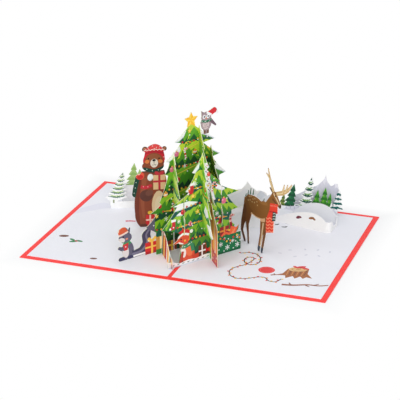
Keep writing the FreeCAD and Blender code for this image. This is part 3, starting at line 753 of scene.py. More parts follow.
def tree_back_picture():
    picture = Picture("tree_back", LEAF)
    axis = -8.2
    picture.paint((34, 78, 52), box(-60, 60, -2, ABOVE_ALL))
    tiers = [
        (8.0, 26.0, (20, 70, 48), (44, 112, 44), (92, 158, 46)),
        (21.0, 40.0, TEAL, (60, 134, 42), FRESH),
        (35.0, 58.0, (18, 74, 52), (66, 138, 40), (140, 192, 50)),
        (53.0, 76.0, (20, 62, 46), (70, 142, 38), (120, 178, 46)),
        (71.5, 94.0, (26, 78, 42), (84, 150, 38), LIME),
        (91.0, 108.0, (30, 92, 52), (98, 168, 44), (186, 214, 60)),
    ]
    for i, (low, top, *tones) in enumerate(tiers):
        tier(picture, axis, low, 48.0, top, 10 * i, tones, 0.16 if i else 0.05)
    # the arm to the ridge, and everything beyond the tree's right side, is bare
    picture.paint((228, 226, 226), box(32.5, 60, 10, 24))
    for i, (low, dark) in enumerate((
        (23.0, True), (37.5, False), (55.0, True), (73.5, True), (92.6, True),
    )):
        half = 34.0 - 6.2 * i
        line = [
            (axis - half, low - 1.5), (axis - half * 0.4, low - 3.2), (axis + half * 0.3, low - 2.6),
            (axis + half, low - 0.5),
        ]
        string(picture, line, NIGHT if dark else (232, 186, 70))
    for points in (
        [(-33, 44), (-22, 48.5), (-8, 52)], [(-26, 64), (-14, 66.6), (-2, 69)],
        [(-16, 84), (-8, 85.4), (2, 88)],
    ):
        picture.paint((236, 200, 84), band(points, 0.6))
    snow_patch(picture, [(-25, 92.4), (-18, 96.4), (-12.8, 100.6), (-15.5, 95.6), (-20, 92.8)])
    snow_patch(
        picture, [(-34, 78), (-27, 83.6), (-19.5, 88.2), (-18.6, 84.6), (-24, 80.4), (-30, 77.4)],
    )
    snow_patch(picture, [(1, 95), (6, 93), (15.8, 87.6), (15.8, 89.6), (8, 97), (2, 101)])
    snow_patch(picture, [(12, 79), (20.8, 73.6), (20.8, 76.4), (14, 83), (10.4, 83)])
    snow_patch(picture, [(16, 62), (27, 56), (26.6, 59), (19, 66), (14, 67)])
    candy_cane(picture, -13.4, 76.4, 9.0, -1.6)
    ball(picture, -22.4, 82.0, 2.2, PINK)
    striped_ball(picture, -4.6, 80.6, 1.9, ORANGE)
    ball(picture, -27.0, 70.0, 2.3, PINK)
    ball(picture, -21.0, 60.0, 1.9, RED)
    striped_ball(picture, -33.4, 50.0, 2.2, (236, 150, 70))
    ball(picture, -39.0, 41.0, 1.8, RED)
    ball(picture, 14.0, 70.0, 2.0, CORAL)
    ball(picture, 21.0, 50.0, 2.2, PINK)
    ball(picture, 9.0, 82.0, 1.6, GOLD)
    stocking(picture, 3.0, 56.0, 6.4)
    stocking(picture, -27.0, 34.4, 6.2)
    gold_star(picture, -9.8, 99.0, 2.0)
    gold_star(picture, -25.0, 43.6, 2.4, 80)
    gold_star(picture, -42.0, 33.0, 2.0, 100)
    gold_star(picture, 15.5, 38.0, 2.2)
    snowflake(picture, -33.0, 29.0, 2.2)
    snowflake(picture, -14.6, 70.4, 1.9)
    parcel(picture, -32, -23, 0, 9, (150, 60, 50), GOLD, False)
    parcel(picture, -20, -9, 0, 12, (236, 140, 60), WHITE)
    parcel(picture, 10, 22, 0, 11, (30, 108, 72), CORAL)
    # star
    s, z, radius = axis, 107.8, 7.2
    picture.paint((250, 190, 40), star(s, z, radius))
    corners = star(s, z, radius)
    for i in range(0, 10, 2):
        picture.paint((255, 216, 86), [(s, z), corners[i], corners[(i + 1) % 10]])
    owl_picture(picture, 6.6, 96.0)
    squirrel_picture(picture, -70.0, 3.0)
    picture.paint((214, 44, 46), box(-53.6, -40.4, 2.2, 12.6))
    picture.paint((176, 30, 38), box(-53.6, -40.4, 2.2, 4.6))
    picture.paint((250, 206, 96), box(-48.0, -46.0, 2.2, 12.8), box(-53.6, -40.4, 7.6, 9.0))
    picture.paint((250, 206, 96), oval(-49.0, 14.6, 2.6, 1.9, 145), oval(-45.0, 14.6, 2.6, 1.9, 35))
    picture.paint((212, 156, 74), box(-43.0, -33.6, 0, 15.2))
    picture.paint((250, 226, 170), box(-39.4, -37.6, 0, 15.2))
    picture.paint((64, 140, 60), box(-43.0, -33.6, 0, 4.4))
    return picture


def owl_picture(picture, s, z):
    reach = [(-2.6, 0), (-3.4, 1.4), (-5.4, 4.4), (-6.0, 7), (-6.0, 19), (14, 19), (14, 0)]
    picture.paint((150, 128, 134), [(s + ds, z + dz) for ds, dz in reach][::-1])
    picture.paint((122, 84, 60), box(s - 2.6, s + 2.6, z - 2.6, z + 1.4))
    picture.paint((150, 128, 134), box(s - 0.7, s + 0.7, z - 2.6, z + 1.4))
    picture.paint((168, 148, 152), oval(s, z + 6.6, 5.2, 6.6), oval(s, z + 11.4, 5.0, 4.2))
    picture.paint((214, 196, 194), oval(s - 0.4, z + 5.0, 3.2, 4.0))
    for row in range(3):
        for k in range(3 - row % 2):
            picture.paint(
                (160, 136, 140),
                oval(s - 2.2 + 1.8 * k + 0.9 * (row % 2), z + 3.0 + 1.7 * row, 0.42, 0.6, count=6),
            )
    picture.paint(
        (112, 88, 98), band([(s + 3.4, z + 9.0), (s + 6.4, z + 6.2), (s + 9.6, z + 3.0)], 3.8, 1.2),
    )
    for ds in (-2.0, 1.7):
        picture.paint(WHITE, oval(s + ds, z + 11.8, 1.6))
        picture.paint((34, 26, 34), oval(s + ds + 0.2, z + 11.8, 0.8, count=8))
    picture.paint(ORANGE, [(s - 0.8, z + 11.0), (s + 0.6, z + 11.0), (s - 0.1, z + 9.4)])
    picture.paint((38, 112, 78), band([(s - 4.8, z + 8.8), (s, z + 7.6), (s + 5.0, z + 8.6)], 1.9))
    picture.paint(
        (210, 228, 214), *stripes([(s - 4.8, z + 8.8), (s, z + 7.6), (s + 5.0, z + 8.6)], 0.5, 0.6),
    )
    picture.paint(
        (214, 40, 50),
        [
            (s + 0.2, z + 15.0), (s + 5.2, z + 11.8), (s + 10.8, z + 14.2), (s + 9.0, z + 18.6),
            (s + 5, z + 19),
        ],
    )
    picture.paint(
        WHITE, band([(s + 0.4, z + 15.2), (s + 5.2, z + 12.4)], 1.7, steps=1),
        oval(s + 10.8, z + 13.6, 1.4),
    )


def squirrel_picture(picture, s, z):
    fur = (98, 96, 118)
    picture.paint(fur, box(s - 14, s + 26, z - 4, z + 32))
    tail = [
        (s + 4, z + 3.4), (s + 13, z + 4.4), (s + 18.4, z + 10.4), (s + 17.4, z + 16.6),
        (s + 20, z + 20.4),
    ]
    picture.paint((66, 66, 92), band(tail, 7.0, 8.6))
    picture.paint((120, 118, 142), band(tail, 2.2, 1.6))
    picture.paint((228, 222, 222), oval(s - 2.2, z + 7.2, 3.0, 5.4, 8))
    picture.paint((88, 86, 108), band([(s - 2.6, z + 9.6), (s - 8.6, z + 11.4)], 3.2, 2.4, 1))
    picture.paint((56, 56, 92), oval(s - 6.2, z + 1.4, 3.4, 1.6), oval(s + 1.8, z + 1.6, 2.8, 1.5))
    picture.paint((226, 218, 216), oval(s - 6.0, z + 17.6, 3.4, 2.2, -8))
    picture.paint(
        (44, 40, 56), oval(s - 4.2, z + 20.2, 0.8, count=8), oval(s - 8.9, z + 18.4, 0.8, 0.6, count=8),
    )
    picture.paint((224, 140, 116), oval(s - 1.0, z + 18.0, 1.3, 0.9, count=8))
    picture.paint((54, 52, 76), band([(s + 0.4, z + 22.6), (s + 1.8, z + 26.4)], 1.4, 0.8, 1))
    picture.paint(
        (216, 92, 56),
        [
            (s - 9.4, z + 21.6), (s + 0.8, z + 23.8), (s - 2.6, z + 28.6), (s - 5.4, z + 30.0),
            (s - 10, z + 26.4),
        ],
    )
    picture.paint(
        (240, 214, 200),
        band([(s - 9.0, z + 21.8), (s - 4, z + 22.6), (s + 0.6, z + 24.0)], 1.5, steps=2),
    )
    picture.paint((240, 214, 200), oval(s - 9.2, z + 26.0, 1.2, count=10))
    picture.paint(
        (56, 142, 92),
        band([(s - 6.2, z + 14.6), (s - 1.4, z + 13.6), (s + 3.6, z + 15.4)], 3.2, steps=3),
    )
    picture.paint(
        (206, 44, 54),
        [(s - 4.8, z + 13.4), (s + 0.6, z + 14.6), (s - 0.4, z + 8.4), (s - 3.4, z + 8.2)],
    )
    picture.paint((240, 200, 200), oval(s - 2.2, z + 11.4, 0.7, count=8))
    picture.paint(WHITE, band([(s + 5, z + 1.4), (s + 22, z + 1.9)], 1.6, steps=1))


def fox_picture(picture, s):
    picture.paint((222, 84, 52), oval(s + 1.5, 9.5, 6.4, 9.7, 14), oval(s - 2.6, 22.5, 5.8, 5.0, -8))
    picture.paint((222, 84, 52), [(s - 7.4, 19.8), (s - 6.2, 25.0), (s - 13.4, 20.0)])
    picture.paint(
        (222, 84, 52), [(s - 4.8, 25.0), (s - 0.2, 26.4), (s - 3.4, 33.2)],
        [(s - 1.2, 25.0), (s + 3.2, 23.6), (s + 1.8, 31.6)],
    )
    tail = [(s + 6, 3.4), (s + 12.5, 4.8), (s + 17.0, 9.2), (s + 17.4, 14.0)]
    picture.paint((206, 68, 44), band(tail, 6.6, 3.4))
    picture.paint(WHITE, band(tail[2:], 5.0, 1.6, 3))
    picture.paint((240, 120, 76), oval(s + 2.6, 12.0, 3.4, 5.8, 16))
    picture.paint(
        (246, 236, 228), oval(s - 2.8, 11.4, 2.4, 5.0, 10),
        [(s - 13.4, 19.6), (s - 6.6, 20.8), (s - 2.4, 18.6), (s - 7, 17.6)],
    )
    picture.paint((190, 62, 42), band([(s - 3.4, 12.0), (s - 5.6, 2.0)], 2.4, 2.8, 1))
    picture.paint((70, 34, 34), oval(s - 6.2, 1.2, 2.6, 1.4), oval(s + 2.0, 1.2, 3.0, 1.4))
    picture.paint((120, 40, 34), [(s - 3.8, 26.4), (s - 1.6, 27.0), (s - 3.1, 30.6)])
    picture.paint(
        (40, 24, 28), oval(s - 13.0, 20.0, 1.0, 0.8, count=8), oval(s - 5.0, 22.8, 0.8, count=8),
    )
    picture.paint(
        (214, 42, 46),
        [
            (s - 8.2, 24.6), (s - 3.4, 27.8), (s + 2.4, 25.4), (s + 4.4, 28.4), (s - 2.0, 31.4),
            (s - 7.6, 29.0),
        ],
    )
    picture.paint(
        WHITE, band([(s - 8.2, 24.4), (s - 3.2, 27.0), (s + 2.6, 25.4)], 1.9, steps=2),
        oval(s + 5.0, 27.6, 1.6),
    )
    picture.paint(
        (56, 140, 96), band([(s - 6.6, 17.4), (s - 1.0, 15.8), (s + 5.4, 18.0)], 3.6, steps=3),
    )
    picture.paint((56, 140, 96), [(s + 3.4, 17.6), (s + 6.8, 17.2), (s + 8.2, 10.4), (s + 5.0, 10.0)])
    picture.paint(
        (220, 236, 220), *stripes([(s - 6.6, 17.4), (s - 1.0, 15.8), (s + 5.4, 18.0)], 0.7, 0.9),
    )


def tree_front_picture():
    picture = Picture("tree_front", LEAF)
    axis = 24.0
    picture.paint((24, 72, 54), box(-60, 80, -2, ABOVE_ALL))
    tiers = [
        (7.0, 26.0, (16, 62, 50), (30, 100, 62), (86, 152, 50)),
        (21.0, 38.0, (14, 76, 62), (52, 128, 50), (128, 184, 46)),
        (34.0, 54.0, TEAL, (58, 134, 44), (150, 198, 54)),
        (49.0, 68.0, (14, 84, 74), (64, 142, 46), (176, 206, 58)),
        (62.0, 82.0, (14, 88, 78), (78, 152, 50), (196, 216, 66)),
        (78.0, 92.0, (40, 120, 60), (120, 184, 50), (206, 222, 84)),
    ]
    conifer(picture, axis, 42.0, 100, tiers, 0.22)
    for i, low in enumerate((24.0, 37.0, 52.6, 66.0)):
        half = 30.0 - 5.6 * i
        line = [
            (axis - half, low - 3.4), (axis - half * 0.3, low - 3.0), (axis + half * 0.4, low - 3.6),
            (axis + half, low - 5.4),
        ]
        string(picture, line, (230, 188, 72) if i % 2 else NIGHT, 0.6)
    snow_patch(
        picture,
        [(-7.6, 48.0), (-6.4, 51.6), (2, 53.2), (10, 53.6), (19.4, 51.2), (12, 49.4), (2, 48.4)],
    )
    snow_patch(picture, [(-1.6, 44.2), (2.0, 46.0), (7.4, 45.4), (4, 43.6)])
    stocking(picture, -5.6, 32.8, 7.6, (204, 40, 52))
    snow_patch(picture, [(6.4, 61.0), (12, 65.4), (16, 69.6), (16.4, 66.4), (12, 62.6)])
    snow_patch(picture, [(13.0, 75.6), (18, 80.6), (21, 84), (20.4, 79.4), (16.6, 76.2)])
    snow_patch(picture, [(36.4, 59.0), (43, 55.8), (46, 56.6), (41, 60.2), (37, 62.6)])
    # a runner of snow down the middle boughs, flecked with needles and berries
    runner = [(27.2, 82), (28.2, 72), (30.4, 60), (33.4, 49)]
    picture.paint(SNOW_SHADE, band([(s + 0.8, z - 0.6) for s, z in runner], 3.6, 5.0))
    picture.paint(WHITE, band(runner, 3.4, 4.8))
    for k in range(8):
        s, z = 27.4 + 0.085 * k * k + 0.1 * k, 79.0 - 3.9 * k
        picture.paint(
            (40, 92, 84) if k % 2 else (150, 190, 70),
            band([(s - 0.9, z), (s + 0.9, z - 1.6)], 0.7, steps=1),
        )
        picture.paint(RED if k % 3 else ORANGE, oval(s + 0.9, z + 0.6, 0.6, count=8))
    stocking(picture, 11.8, 58.8, 8.2)
    stocking(picture, 40.0, 27.0, 6.4, (190, 36, 60))
    gold_star(picture, 14.6, 57.0, 2.6)
    gold_star(picture, 19.0, 43.0, 2.6, 100)
    gold_star(picture, 33.0, 49.0, 2.2, 80)
    ball(picture, 5.0, 45.6, 2.2, RED)
    ball(picture, 44.6, 46.0, 2.6, PINK)
    ball(picture, 30.0, 72.0, 2.0, CORAL)
    striped_ball(picture, 31.0, 31.0, 2.3, (236, 150, 60))
    striped_ball(picture, 12.0, 34.0, 2.0, PINK)
    candy_cane(picture, 33.0, 56.0, 8.0, 1.2)
    snowflake(picture, 17.0, 66.6, 2.0)
    snowflake(picture, 1.0, 38.6, 1.8)
    snowflake(picture, 38.0, 36.6, 2.0)
    # presents behind the big one, and the parcel at the foot
    picture.paint((148, 34, 42), box(41.0, 50.2, 15, 23.6))
    picture.paint((214, 150, 60), box(44.8, 46.4, 15, 23.6), box(41.0, 50.2, 19.0, 20.4))
    cane = [(53.6, 13.0), (51.4, 29.5), (52.6, 32.2), (55.4, 31.0)]
    picture.paint((226, 178, 170), band(cane, 2.6))
    picture.paint((150, 24, 36), *stripes(cane, 2.6, 1.3, 8))
    picture.paint((12, 116, 66), box(38.3, 62.4, -1, 15.7))
    picture.paint((8, 92, 54), box(38.3, 62.4, -1, 1.6), box(60.8, 62.4, -1, 15.7))
    for s, z, size in (
        (42.0, 8.4, 2.2), (48.6, 4.4, 2.4), (54.0, 9.0, 1.7), (58.6, 4.6, 2.4), (45.6, 12.6, 1.4),
        (59.0, 11.6, 1.8),
    ):
        snowflake(picture, s, z, size)
    for s, z in (
        (45.2, 2.0), (51.6, 7.4), (54.6, 2.4), (40.2, 4.2), (49.6, 11.6), (57.0, 8.0), (61.4, 7.6),
    ):
        picture.paint(WHITE, oval(s, z, 0.6, count=8))
    string(picture, [(38.6, 11.0), (43, 13.8), (50, 9.0), (57, 13.4), (62, 8.6)], (24, 30, 34), 0.6)
    picture.paint((238, 98, 60), [(50, 15.3), (57, 15.3), (60.4, 22.6), (56, 20.8), (52, 22.2)])
    picture.paint((250, 140, 96), [(52, 15.3), (55, 15.3), (57, 19.6), (54.6, 19.0)])
    picture.paint((238, 98, 60), band([(42.6, 15.2), (46, 17.6), (51, 15.6)], 1.8, steps=3))
    fox_picture(picture, 8.0)
    for way in (-1, 1):
        picture.paint((206, 30, 44), [(31.0, 7.2), (31.0 + way * 5.4, 4.0), (31.0 + way * 5.8, 11.4)])
        picture.paint((160, 20, 36), [(31.0, 7.2), (31.0 + way * 5.4, 4.0), (31.0 + way * 3.2, 6.6)])
    picture.paint((224, 54, 58), oval(31.0, 7.4, 1.8, 2.0))
    parcel(picture, 20.0, 27.0, 2.0, 13.0, (104, 56, 42), WHITE, False)
    snow = smooth([
        (-9.6, 5.6), (-5.0, 5.0), (2.0, 2.6), (10.0, 3.8), (18.0, 3.0), (26.0, 4.2), (38.3, 3.4),
    ])
    picture.paint(WHITE, [(-9.8, -1), *snow, (38.3, -1)][::-1])
    # painted shade along the foot of the snow, where the sheet meets the page
    picture.paint(
        SNOW_SHADE, [(-9.8, -1), (-9.6, 1.2), (4, 0.8), (20, 1.4), (38.3, 0.8), (38.3, -1)][::-1],
    )
    for k in range(9):
        s = -6.0 + 4.8 * k
        picture.paint((96, 122, 104), [(s, 1.8), (s + 1.6, 1.4), (s + 3.0, 2.4), (s + 1.4, 2.3)])
    return picture


PICTURES += [tree_back_picture(), tree_front_picture()]
print("long sheets:", [len(picture.shapes) for picture in PICTURES])

# %% [markdown]
# The cross sheets are seen as slivers, so their prints are broad: two or three greens, patches of
# snow, and stripes of wrapped presents near the foot.

# %% Cross sheets


def left_strip_picture():
    picture = Picture("left_strip", (238, 168, 74))
    colours = [
        (206, 60, 52), (246, 238, 226), (240, 140, 60), (248, 206, 96), (246, 238, 226), (24, 108, 84),
        (232, 120, 54), (250, 214, 120), (178, 44, 48),
    ]
    for i in range(20):
        s = -12.0 + 2.6 * i
        picture.paint(colours[i % len(colours)], [(s, -1), (s + 2.6, -1), (s + 6.6, 24), (s + 4.0, 24)])
    picture.paint((246, 220, 214), band([(-10, 9), (-4, 16.8), (4, 20.4), (12, 18.8)], 2.0))
    picture.paint((196, 42, 48), *stripes([(-10, 9), (-4, 16.8), (4, 20.4), (12, 18.8)], 2.0, 1.3))
    picture.paint((150, 40, 40), box(26, 36, -1, 3.4))
    return picture


def left_slice_picture():
    picture = Picture("left_slice", (170, 208, 84))
    tiers = [
        (24.0, 40.0, (60, 140, 60)), (38.0, 54.0, (40, 130, 70)), (52.0, 68.0, (16, 112, 88)),
        (66.0, 86.0, (110, 176, 60)),
    ]
    conifer(picture, 1.4, 38.0, 200, tiers, 0.2, 4.6, ((150, 200, 66), (206, 226, 116)))
    for points in ([(2, 84), (6, 76), (15, 65), (20, 53), (34, 41)], [(-8, 66), (-4, 74), (1, 84)]):
        picture.paint((240, 246, 232), band(points, 1.2, 2.6))
    snow_patch(picture, [(22, 47), (34, 41), (34, 38), (26, 40.6)])
    string(picture, [(-10, 44), (4, 41.6), (20, 44)], (232, 190, 80), 0.6)
    gold_star(picture, 9.0, 57.0, 1.9)
    return picture


def front_slice_picture():
    picture = Picture("front_slice", (110, 186, 48))
    tiers = [
        (24.0, 46.0, (34, 132, 58)), (42.0, 60.0, (40, 140, 60)), (57.0, 76.0, (46, 150, 62)),
        (73.0, 92.0, (90, 170, 60)),
    ]
    conifer(picture, 0.0, 34.0, 300, tiers, 0.24, 4.2, ((112, 192, 44), (188, 220, 74)))
    snow_patch(picture, [(5, 44), (9, 50), (15, 47.6), (18, 44), (12, 41)])
    snow_patch(picture, [(13, 36), (22, 37.6), (30.6, 31.6), (30.6, 28.6), (21, 30.4)])
    snow_patch(picture, [(8, 69), (13.2, 71.4), (13.2, 68.8), (9, 65.6)])
    snow_patch(picture, [(-15.4, 39), (-9, 45), (-8, 41), (-13, 37.6)])
    string(picture, [(-8, 60), (4, 57.6), (16, 59)], (232, 190, 80), 0.6)
    ball(picture, 8.0, 62.6, 1.8, RED)
    return picture


def centre_slice_picture():
    picture = Picture("centre_slice", (120, 170, 50))
    tiers = [
        (-4.0, 24.0, (20, 84, 56)), (20.0, 42.0, (20, 96, 66)), (38.0, 60.0, (22, 104, 66)),
        (55.0, 78.0, (28, 110, 60)), (74.0, 104.0, (50, 128, 54)),
    ]
    conifer(picture, 0.0, 56.0, 400, tiers, 0.2, 4.2, ((104, 170, 44), (190, 212, 66)))
    snow_patch(
        picture,
        [(17, 88), (22, 84), (32, 74), (38, 62.6), (46, 51), (38, 51), (33, 60), (27, 72), (19, 82)],
    )
    for k in range(7):
        s, z = 19.5 + 3.4 * k, 85.0 - 4.8 * k
        picture.paint((34, 70, 78), band([(s, z), (s + 1.8, z - 2.2)], 0.7, steps=1))
        picture.paint(RED, oval(s + 1.6, z + 0.4, 0.7, count=8))
    picture.paint((250, 164, 84), [(31, 52), (52, 44), (55, -1), (37, -1)])
    for k, colour in enumerate((
        (255, 244, 232), (240, 112, 58), (255, 208, 112), (255, 244, 232), (226, 84, 64),
    )):
        s = 35.5 + 3.8 * k
        picture.paint(colour, band([(s - 4.6, 52), (s - 0.8, 26), (s + 1.0, -1)], 1.3, 1.7, 3))
    picture.paint((196, 84, 84), [(39, 12), (56, 9), (56, -1), (38, -1)])
    for k in range(6):
        picture.paint(
            GOLD if k % 2 else (248, 226, 216), oval(40.5 + 2.4 * k, 3.4 + 3.6 * (k % 3), 0.9, count=8),
        )
    string(picture, [(-24, 40), (-8, 36.6), (10, 37.2), (28, 41)], NIGHT, 0.6)
    string(picture, [(-16, 62), (-2, 58.8), (14, 61)], (232, 190, 80), 0.6)
    ball(picture, -14.0, 50.0, 2.2, RED)
    ball(picture, 9.0, 47.0, 2.0, PINK)
    gold_star(picture, -6.0, 72.0, 2.2)
    parcel(picture, -27, -15, 0, 11, (176, 40, 48), GOLD)
    parcel(picture, 4, 15, 0, 9, (26, 112, 82), WHITE)
    return picture


def right_slice_picture():
    picture = Picture("right_slice", (66, 92, 28))
    tiers = [
        (-4.0, 22.0, (34, 62, 24)), (18.0, 38.0, (30, 66, 28)), (35.0, 54.0, (34, 70, 26)),
        (50.0, 68.0, (40, 76, 24)), (64.0, 84.0, (52, 92, 26)),
    ]
    conifer(picture, 1.4, 40.0, 500, tiers, 0.2, 4.4, ((84, 118, 30), (156, 176, 44)))
    snow_patch(picture, [(28, 43), (37, 39.4), (37, 37), (29, 39)])
    snow_patch(picture, [(-22.6, 24), (-16, 29.6), (-14, 26.6), (-19, 23.4)])
    string(picture, [(-14, 40), (0, 36.4), (16, 38), (30, 42)], (214, 170, 66), 0.6)
    ball(picture, 7.0, 52.0, 2.0, (204, 60, 50))
    ball(picture, 22.0, 34.0, 2.2, PINK)
    gold_star(picture, -7.0, 30.0, 2.0)
    parcel(picture, 6, 20, 0, 12, (190, 60, 50), GOLD)
    return picture


PICTURES += [
    left_strip_picture(), left_slice_picture(), front_slice_picture(), centre_slice_picture(),
    right_slice_picture(),
]
print("cross sheets painted")

# %% [markdown]
# ## The animals
#
# The bear and the deer are plain silhouettes, so the print does the modelling: a darker shade
# where the body turns away, a lighter belly, and a few marks for the face.

# %% Bear and deer


def bear_picture():
    picture = Picture("bear", (144, 68, 44))
    picture.paint(
        (118, 52, 36), [(-16, -1), (-9.6, -1), (-10.6, 14), (-10.0, 30), (-7.6, 50), (-16, 50)],
    )
    picture.paint((158, 82, 54), band([(-6.6, 8), (-7.6, 24), (-5.6, 44)], 2.0, 4.0))
    picture.paint((236, 204, 162), oval(5.6, 20.0, 5.4, 12.0, -4))
    picture.paint((244, 220, 184), oval(6.0, 18.0, 3.4, 9.0, -4))
    picture.paint((96, 54, 42), oval(-5.0, 69.4, 2.8), oval(11.2, 69.2, 2.6))
    picture.paint((176, 120, 88), oval(-5.2, 69.6, 1.3), oval(11.5, 69.4, 1.1))
    hat = [(-8, 57.6), (13, 57.4), (12.6, 64), (10.6, 69), (3.6, 75), (-5.4, 69), (-8.4, 64)]
    picture.paint((206, 36, 50), hat)
    picture.paint((232, 74, 76), [(-3, 68.2), (10, 68.2), (8, 71.4), (3.5, 73.8), (-1, 71.6)])
    picture.paint((140, 72, 46), oval(2.4, 57.6, 8.0, 8.2))
    picture.paint((152, 86, 54), oval(2.4, 61.0, 6.2, 3.8))
    picture.paint((176, 28, 46), band([(-6.2, 65.2), (2.4, 66.6), (11.2, 65.0)], 1.4))
    zigzag = []
    for i in range(13):
        tooth = 0.9 if i % 2 else 0
        zigzag.append((-6.4 + 1.5 * i, 67.4 + tooth + 0.6 * math.sin(math.pi * i / 12)))
    picture.paint((248, 226, 216), band(zigzag, 0.7, steps=1))
    for s, z in (
        (-2.4, 70.2), (1.2, 71.8), (4.6, 70.4), (7.6, 70.8), (9.4, 68.8), (-4.2, 68.9), (2.8, 69.4),
        (-6.4, 62.0), (10.9, 61.6),
    ):
        picture.paint((248, 226, 216), oval(s, z, 0.45, count=6))
    picture.paint((238, 226, 210), oval(2.6, 56.6, 3.3, 3.9))
    picture.paint(
        (34, 24, 24), oval(2.5, 59.2, 1.5, 1.1, count=10),
        band([(2.5, 58.2), (2.5, 56.2)], 0.4, steps=1),
    )
    picture.paint(
        (34, 24, 24),
        band([(0.9, 55.4), (1.7, 54.8), (2.5, 55.5), (3.3, 54.8), (4.1, 55.4)], 0.4, steps=2),
    )
    picture.paint((30, 22, 22), oval(-2.2, 60.8, 0.7, count=8), oval(6.8, 60.6, 0.7, count=8))
    picture.paint((224, 124, 66), oval(-3.3, 58.2, 1.9, 1.7), oval(7.8, 58.0, 1.9, 1.7))
    picture.paint((110, 60, 46), band([(-6.6, 50.6), (2.2, 48.6), (10.6, 50.8)], 2.6))
    collar = [(-10.4, 46.6), (-6.6, 51.6), (-1.8, 50.6), (3.0, 49.8), (8.0, 51.4), (11.6, 53.2)]
    picture.paint((18, 66, 52), band(collar, 3.4, 2.6))
    picture.paint((18, 66, 52), band([(-9.0, 49.6), (-12.2, 42), (-14.0, 34), (-15.2, 27.4)], 4.6, 3.6))
    for s, z in (
        (-7.4, 51.0), (-3.6, 51.6), (1.0, 50.0), (6.0, 50.4), (-11.4, 45.0), (-12.8, 40.4),
        (-13.6, 35.6), (-14.6, 31.0),
    ):
        picture.paint((206, 226, 214), oval(s, z, 0.45, count=6))
    picture.paint(CORAL, oval(-9.4, 46.2, 3.6))
    picture.paint((206, 44, 44), oval(-9.4, 45.0, 2.6, 2.0))
    picture.paint((250, 190, 160), oval(-10.4, 47.6, 0.9, count=8))
    picture.paint(WHITE, oval(-0.8, 44.2, 2.5, 3.1, -10))
    picture.paint((210, 206, 212), band([(-2.2, 42.2), (-0.6, 41.6), (0.9, 42.8)], 0.6, steps=2))
    # a parcel carried under the arm
    parcel(picture, 1.6, 12.0, 33.0, 46.0, (240, 198, 148), (206, 52, 66))
    picture.paint((206, 52, 66), oval(4.8, 47.6, 2.2, 1.4, 150), oval(8.8, 47.6, 2.2, 1.4, 30))
    picture.paint((98, 56, 48), oval(-4.4, 28.0, 5.6, 5.2, -20))
    picture.paint((120, 72, 60), oval(-1.8, 30.4, 3.4, 2.6, 20))
    picture.paint((206, 44, 60), band([(-9.0, 36.4), (-4.6, 35.4), (0.4, 37.2)], 2.8))
    picture.paint((240, 170, 170), oval(-6.8, 36.2, 0.5, count=6), oval(-3.0, 35.9, 0.5, count=6))
    parcel(picture, -5.0, 2.4, 0.4, 10.6, (214, 40, 46), (250, 206, 190), False)
    picture.paint(GOLD, oval(-1.4, 12.6, 2.0, 1.6))
    picture.paint((98, 54, 42), oval(-7.2, 1.2, 3.6, 1.6))
    return picture


